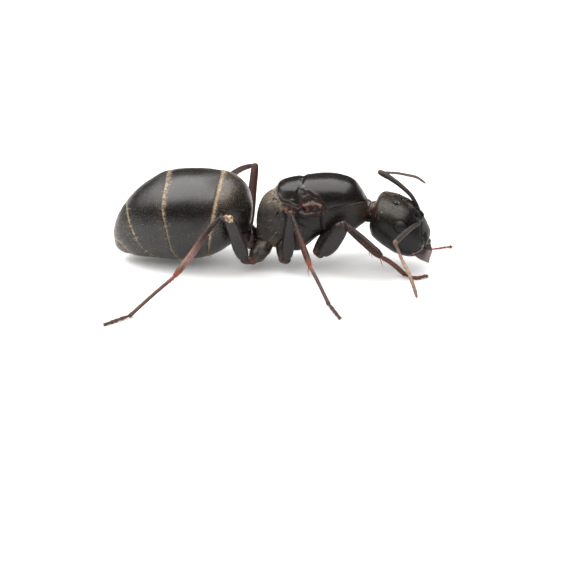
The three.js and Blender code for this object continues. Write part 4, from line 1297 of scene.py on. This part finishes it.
def hip_and_thigh(leg, pair, away, joints):
    """The coxa, and the hinge piece with the femur."""
    hip, coxa_end, femur_head, knee = joints[:4]
    coxa = sweep([hip, between(hip, coxa_end, 0.5), coxa_end], HIP[pair], sides=44, steps=44, up=(1, 0, 0))
    dusty = ease(-0.3, 0.6, uneven(coxa["points"], 0.3, 30))
    mark(coxa, warm=0.5 * ease(0.85, 1.0, coxa["marks"]["along"]),
         bloom=(0.95 if pair == "hind" else 0.2) * dusty)
    roughened(coxa, 0.012 * uneven(coxa["points"], 0.5, 31))
    make_piece(f"hip_{leg}", coxa, leg_shell, (f"coxa_{leg}",))

    hinge = sweep([between(hip, coxa_end, 0.95), coxa_end, femur_head, between(femur_head, knee, 0.06)],
                  [(0, 0.17), (0.35, 0.23), (0.6, 0.22), (1, 0.17)], sides=28, steps=26)
    blotch = ease(-0.4, 0.5, uneven(hinge["points"], 0.2, 33))
    mark(hinge, warm=(0.7 if pair == "hind" else 0.3) * blotch)
    wide, flatness = THIGH[pair]
    wide = scaled(wide, SEEN_ON_EDGE.get(leg, 1))
    last_share = 0.94 if leg in SHIN_START else 0.99
    stretch = [between(femur_head, knee, share) for share in (0.03, 0.35, last_share)]
    stretch[1] = stretch[1] + THIGH_BOW.get(leg, STRAIGHT)
    femur = sweep(stretch, wide, scaled(wide, flatness), sides=44, steps=70, up=(0, away, 0.2))
    s = femur["marks"]["along"]
    mark(femur, warm=0.7 * fade(0.0, 0.07, s) + 0.2 * ease(0.95, 1.0, s),
         russet=0.9 if leg == "left_hind" else 0.0)
    make_piece(f"thigh_{leg}", joined([hinge, femur]), leg_shell, (f"femur_{leg}",))
    return coxa, femur


print("thigh finish:", leg_shell.name)

# %% Knees and shins


def knee_and_shin(leg, pair, away, joints, shin_head):
    """The soft skin in the knee, and the tibia."""
    femur_head, knee, ankle = joints[2:5]
    bend = [between(femur_head, knee, 0.90), between(femur_head, knee, 0.985),
            between(shin_head, ankle, 0.03)]
    bare = SKIN_AT_KNEE.get(leg, 0.0)
    knee_skin = sweep(bend, [(0, 0.17), (0.40, 0.12 + 0.07 * bare), (1, 0.10)], sides=28, steps=28)
    lumps = uneven(knee_skin["points"], 0.16, 41)
    s = knee_skin["marks"]["along"]
    roughened(knee_skin, 0.02 * lumps)
    # dusky paints shade on the knee's skin in the bend and where it runs into the shin, so only a bare knee
    # shows pale
    mark(knee_skin, pale=bare * ease(-0.3, 0.3, lumps) * fade(0.45, 0.8, s),
         dusky=1.0 - bare + ease(0.6, 0.9, s))
    make_piece(f"knee_{leg}", knee_skin, joint_skin)

    stretch = [between(shin_head, ankle, share) for share in (0.0, 0.3, 0.65, 1.0)]
    stretch[1] = stretch[1] + SHIN_BOW.get(leg, STRAIGHT)
    girth = scaled(SHIN, SLENDER[pair])
    shin = sweep(stretch, girth, scaled(girth, 0.86), sides=32, steps=80, up=(0, away, 0.2), square=2.2)
    s = shin["marks"]["along"]
    darker = 0.4 if pair == "fore" else 0.0
    # the rosy band on the near hind shin is a painted highlight
    mark(shin, dusky=fade(0.2, 0.65, s) * (1 - REDDER.get(leg, 0.0)) + darker,
         matt=0.3 * fade(0.1, 0.5, s), rosy=0.9 * hump(s, 0.72, 0.2) * (leg == "right_hind"),
         amber=(0.0 if darker else 0.9) * ease(0.86, 1.0, s))
    make_piece(f"shin_{leg}", shin, shin_shell, (f"tibia_{leg}",))
    return shin


print("shin finish:", shin_shell.name)

# %% Feet, spurs and the comb


def foot_with_claws(leg, pair, joints, shin_head):
    """The five pieces of the tarsus with two claws and the pad between them."""
    ankle, heel, toe = joints[4:]
    stout = FOOT_STOUT[pair]
    first_piece = [(0, 0.085), (0.2, 0.095 * stout), (0.9, 0.10 * stout), (1, 0.115)]
    arch = (ankle + heel) / 2 + FOOT_ARCH.get(leg, LOW_ARCH)
    foot = [sweep([ankle + unit(ankle - shin_head) * 0.10, arch, heel], first_piece, sides=20, steps=50)]
    toe_bow = TOE_BOW.get(leg, np.zeros(3))
    slim = SLIM_TOES.get(leg, 1.0)
    for start, end in ANKLE_PIECES:
        from_to = [heel + (toe - heel) * s + 4 * s * (1 - s) * toe_bow for s in (start, end)]
        slim_end = 0.085 if end == 1.0 else 0.105
        girth = scaled([(0, 0.05), (0.3, 0.07), (1, slim_end)], slim)
        foot.append(sweep(from_to, girth, sides=18, steps=16))
    ahead = unit((toe - heel) * [1, 1, 0])
    aside = np.cross([0, 0, 1], ahead)
    for turn_out in (-1, 1):
        claw_tip = toe + 0.20 * ahead + 0.12 * turn_out * aside
        claw_tip[2] = 0.03
        claw_root = toe + 0.02 * ahead + 0.04 * turn_out * aside
        foot.append(spike(claw_root, claw_tip, CLAW_THICK, [0, 0, 0.07]))
    foot.append(sweep([toe, toe + 0.10 * ahead - [0, 0, 0.03]], [(0, 0.05), (1, 0.06)], sides=14, steps=8))
    shares = np.concatenate([np.full(len(f["points"]), i / len(foot)) for i, f in enumerate(foot)])
    parts_of_foot = len(foot)
    foot = joined(foot)
    along = shares + foot["marks"]["along"] / parts_of_foot
    if leg in SLIM_TOES:
        amber = (0.7 - 0.6 * ease(0.3, 0.8, shares)) * (shares > 0)
    elif pair == "fore":
        amber = 0.18
    else:
        amber = 0.8 * fade(0.0, 0.03, along)
    mark(foot, along=along, amber=amber, dusky=0.3 * ease(0.5, 1.0, shares) + FOOT_DUSKY[pair])
    make_piece(f"foot_{leg}", foot, foot_shell, (f"tarsus_{leg}",))
    return foot


def spurs_and_comb(leg, pair, away, joints, shin_head):
    """Two spurs at the end of the shin, and on a fore leg the comb that the feelers are drawn through."""
    knee, ankle = joints[3:5]
    down_leg = unit(ankle - knee)
    inward = unit(np.cross(down_leg, [0, 0, 1]) * away)
    spurs = []
    for swing, long in SPURS[pair]:
        aim = unit(0.75 * down_leg + swing * inward + [0, 0, -0.75])
        spurs.append(spike(ankle + 0.10 * swing * inward, ankle + long * aim, SPUR_THICK, -0.05 * inward))
    if pair == "fore":
        comb = []
        comb_at = between(shin_head, ankle, 0.80) - [0.06, 0, 0.10]
        for spread in (-0.14, 0.0, 0.12):
            comb_tip = comb_at + [0.06 + spread, 0, -0.40 + 0.6 * abs(spread)]
            comb.append(spike(comb_at + [0.5 * spread, 0, 0], comb_tip, COMB_THICK, [-0.04, 0, 0]))
        make_piece(f"comb_{leg}", joined(comb), pale_hair)
    make_piece(f"spurs_{leg}", joined(spurs), bristle)


print("foot finish:", foot_shell.name)

# %% Six legs
for leg, joints in LEGS.items():
    joints = np.array(joints)
    flank, pair = leg.split("_")
    away = -1 if flank == "right" else 1
    shin_head = joints[3] + SHIN_START.get(leg, STRAIGHT)
    coxa, femur = hip_and_thigh(leg, pair, away, joints)
    shin = knee_and_shin(leg, pair, away, joints, shin_head)
    foot = foot_with_claws(leg, pair, joints, shin_head)
    spurs_and_comb(leg, pair, away, joints, shin_head)
    limbs.update({f"femur_{leg}": femur, f"tibia_{leg}": shin, f"tarsus_{leg}": foot, f"coxa_{leg}": coxa})

# %% [markdown]
# ## Hair
# An ant's hairs are tiny chitin spikes, each in its own pit. Most lie flat and point to the rear, a
# few stand up as feelers for touch. They are real mesh here, three-sided spikes of nine triangles:
# a texture would vanish at the outline, where hair shows best. Thin real ones would be 0.005 to
# 0.01 mm thick. They are drawn a little stouter, so that they stay visible at this size.

# %% Scattering and growing hairs


def scatter(shape, count, seed, chance=None, towards=1):
    """Random places on a skin, more of them where chance is high: the root, the way out of the skin,
    the way a flat hair would lie, and the root's place on an unwrap of the skin."""
    dice = np.random.RandomState(seed)
    quads = shape["quads"]
    corners = shape["points"][quads]
    facing = np.cross(corners[:, 2] - corners[:, 0], corners[:, 3] - corners[:, 1])
    area = np.linalg.norm(facing, axis=1)
    share = area if chance is None else area * np.clip(np.asarray(chance)[quads].mean(1), 0, None)
    picked = dice.choice(len(quads), count, p=share / share.sum())
    s, t = dice.uniform(size=(2, count, 1))
    four = corners[picked]
    near_end = four[:, 0] * (1 - s) + four[:, 1] * s
    far_end = four[:, 3] * (1 - s) + four[:, 2] * s
    around = shape["marks"]["around"][quads[picked, 0]]
    along = shape["marks"]["along"][quads[picked, 0]]
    return {"root": near_end * (1 - t) + far_end * t, "out": unit(facing[picked]),
            "lie": unit(far_end - near_end) * towards, "unwrap": np.stack([around, along], 1)}


HAIR_POINTS = 7
ROOT_DEPTH = 0.012      # in mm, how deep a hair starts in the shell
HAIR_RING = np.array([[math.cos(a), math.sin(a)] for a in (0, math.tau / 3, 2 * math.tau / 3)])


def grow(places, long, thick, stand, seed, wander=0.3, sag=0.25):
    """Hairs at the places. long is their shortest and longest length, stand how many degrees they
    rise at least and at most, wander how untidy they lie, and sag how far the tip bows down."""
    dice = np.random.RandomState(seed)
    root, out, lie = places["root"], places["out"], places["lie"]
    count = len(root)
    aside = np.cross(out, lie)
    lie = unit(lie + wander * dice.normal(size=(count, 1)) * aside)
    rise = np.radians(dice.uniform(*stand, size=(count, 1)))
    size = dice.uniform(*long, size=(count, 1))
    aim = np.cos(rise) * lie + np.sin(rise) * out
    tip_aim = unit(aim + sag * (lie - out * np.sin(rise)))
    first = unit(np.cross(out, aim) + 1e-6)
    second = np.cross(aim, first)
    start = root - ROOT_DEPTH * out
    middle = start + 0.5 * size * aim
    tip = middle + 0.5 * size * tip_aim
    rings = []
    for centre, girth in ((start, thick), (middle, 0.75 * thick)):
        for a, b in HAIR_RING:
            rings.append(centre + girth * (a * first + b * second))
    points = np.stack([*rings, tip], 1).reshape(-1, 3)
    base = HAIR_POINTS * np.arange(count)[:, None, None]
    quads = base + np.array([[0, 1, 4, 3], [1, 2, 5, 4], [2, 0, 3, 5]])
    triangles = base + np.array([[3, 4, 6], [4, 5, 6], [5, 3, 6]])
    shade = np.repeat(dice.uniform(size=count), HAIR_POINTS)
    along = np.tile([0, 0, 0, 0.5, 0.5, 0.5, 1.0], count)
    return {"points": points, "quads": quads.reshape(-1, 4), "triangles": triangles.reshape(-1, 3),
            "marks": {"along": along, "shade": shade},
            "unwrap": np.repeat(places["unwrap"], HAIR_POINTS, axis=0)}


def tuft(shape, count, seeds, long, thick, stand, chance=None, towards=1, **habit):
    """Hairs scattered over a skin by the first seed and grown there by the second."""
    return grow(scatter(shape, count, seeds[0], chance, towards), long, thick, stand, seeds[1], **habit)


PATCH = 0.003       # size of a hair's own patch on the unwrap
LOWEST = 0.004      # in mm, where a hair of a foot bends flat on the sheet


def coat(name, tufts, material):
    """Joins hairs that grow on several skins. Each skin's unwrap gets its own strip of the sheet."""
    whole = joined(tufts)
    whole["points"][:, 2] = np.maximum(whole["points"][:, 2], LOWEST)
    spots = []
    for i, tuft in enumerate(tufts):
        u, v = tuft["unwrap"].T
        corner = np.array([[0, 0], [1, 0], [0.5, 1], [0, 0.5], [1, 0.5], [0.5, 0.7], [0.5, 1]])
        patch = PATCH * np.tile(corner, (len(u) // HAIR_POINTS, 1))
        spots.append(np.stack([(i + 0.97 * u) / len(tufts), 0.99 * v], 1) + patch)
    whole["bake"] = np.concatenate(spots)
    return make_piece(name, whole, material)


print("a hair has", 3 * 2 + 3, "triangles")

# %% [markdown]
# ## The coat of the gaster
# Short golden hairs lie flat along every ring, thickest on the first ring and towards the tail, and
# thin on the polished middle. At each rim they stick out over the next ring as a ragged fringe. A
# few long ones stand up along the rims and below.

# %% Down, fringe and bristles of the gaster
down_tufts = []
fringe_tufts = []
stiff_tufts = []
DOWN_COUNT = (5200, 900, 1300, 2200, 900)
FRINGE_COUNT = 1800
STIFF_COUNT = 60
STIFF_AT_TAIL = 40
THICK_DOWN = (1, 0.35, 0.5, 0.8, 1.0)
for number, ring in enumerate(gaster_shapes, start=1):
    marks = ring["marks"]
    edge = marks["edge"]
    above = ease(1.0, 4.0, ring["points"][:, 2])
    open_part = (edge > 0.02) * 1.0
    thick_down = 0.25 + marks["warm"] if number == 1 else THICK_DOWN[number - 1]
    chance = open_part * (1 - marks["bald"]) * thick_down * (0.4 + 0.6 * above)
    count, seeds = DOWN_COUNT[number - 1], (100 + number, 200 + number)
    if number < 4:
        down_tufts.append(tuft(ring, count, seeds, (0.08, 0.17), 0.006, (4, 16), chance))
    else:
        fringe_tufts.append(tuft(ring, count, seeds, (0.06, 0.15), 0.004, (4, 20), chance))
    count, chance = STIFF_AT_TAIL, None
    if number < 5:
        count, chance = STIFF_COUNT, hump(edge, 0.2, 0.12) * open_part
        close = hump(edge, 0.03, 0.05) * open_part * (0.3 + above)
        fringe_tufts.append(tuft(ring, FRINGE_COUNT, (300 + number, 400 + number), (0.06, 0.13), 0.005,
                                 (2, 14), close))
    stiff_tufts.append(tuft(ring, count, (500 + number, 600 + number), (0.25, 0.45), 0.007, (35, 60), chance,
                            sag=0.5))
coat("gaster_down", down_tufts, down_hair)
coat("gaster_fringe", fringe_tufts, pale_hair)
coat("gaster_bristles", stiff_tufts, pale_hair)

# %% [markdown]
# ## The coat of thorax and head
# The back is bare and polished. The rear slope and the collar wear fine grey-gold down that runs
# backwards, the face wears down so short that it only dulls the shell, and a few longer pale
# hairs stand on the nape, on the neck and in the groove behind the small dome.

# %% Down and bristles of thorax and head
bare_side = np.clip(1 - back - dome_on - rear - collar, 0, 1) * (1 - wing)
down_chance = rear * (0.4 + crown_of_rear) + 0.12 * collar + 0.1 * bare_side
thorax_down = tuft(thorax, 4300, (700, 701), (0.05, 0.11), 0.0045, (6, 20), down_chance, towards=-1)
thorax_stiff = tuft(thorax, 240, (702, 703), (0.16, 0.34), 0.006, (30, 65), strip + 0.02 * rear,
                    towards=-1, sag=0.4)
head_down = tuft(head, 2600, (710, 711), (0.04, 0.08), 0.004, (5, 20), 0.05 + crown)
head_stiff = tuft(head, 110, (712, 713), (0.12, 0.28), 0.006, (35, 70), nape + 0.3 * mouth_rim, sag=0.4)
neck_stiff = tuft(neck, 150, (720, 721), (0.10, 0.26), 0.006, (25, 60), sag=0.4)
coat("body_down", [thorax_down, head_down], down_hair)
coat("body_bristles", [thorax_stiff, head_stiff, neck_stiff], pale_hair)

# %% [markdown]
# ## Bristles of the legs and feelers
# Shins and feet carry stiff amber bristles, which help her to grip and to clean herself.
# Thighs and feelers have a fine short down that only shows against the light.

# %% Leg and feeler bristles
LIMB_HAIRS = {      # how many, how long, half their thickness, and how steep they stand
    "tibia": (170, (0.07, 0.14), 0.006, (20, 45)),
    "tarsus": (260, (0.06, 0.12), 0.0055, (25, 50)),
    "femur": (260, (0.05, 0.10), 0.005, (8, 25)),
    "scape": (420, (0.03, 0.06), 0.004, (15, 40)),
}
LIMB_HAIRS["coxa"] = LIMB_HAIRS["femur"]
LIMB_HAIRS["lash"] = LIMB_HAIRS["scape"]
FIRST_SEED = 800
shin_tufts = []
fine_tufts = []
for seed, (limb, shape) in enumerate(limbs.items(), start=FIRST_SEED):
    kind = limb.split("_")[0]
    count, long, thick, stand = LIMB_HAIRS[kind]
    tufts = shin_tufts if kind in ("tibia", "tarsus") else fine_tufts
    tufts.append(tuft(shape, count, (seed, seed), long, thick, stand))
coat("leg_bristles", shin_tufts, bristle)
coat("limb_down", fine_tufts, down_hair)
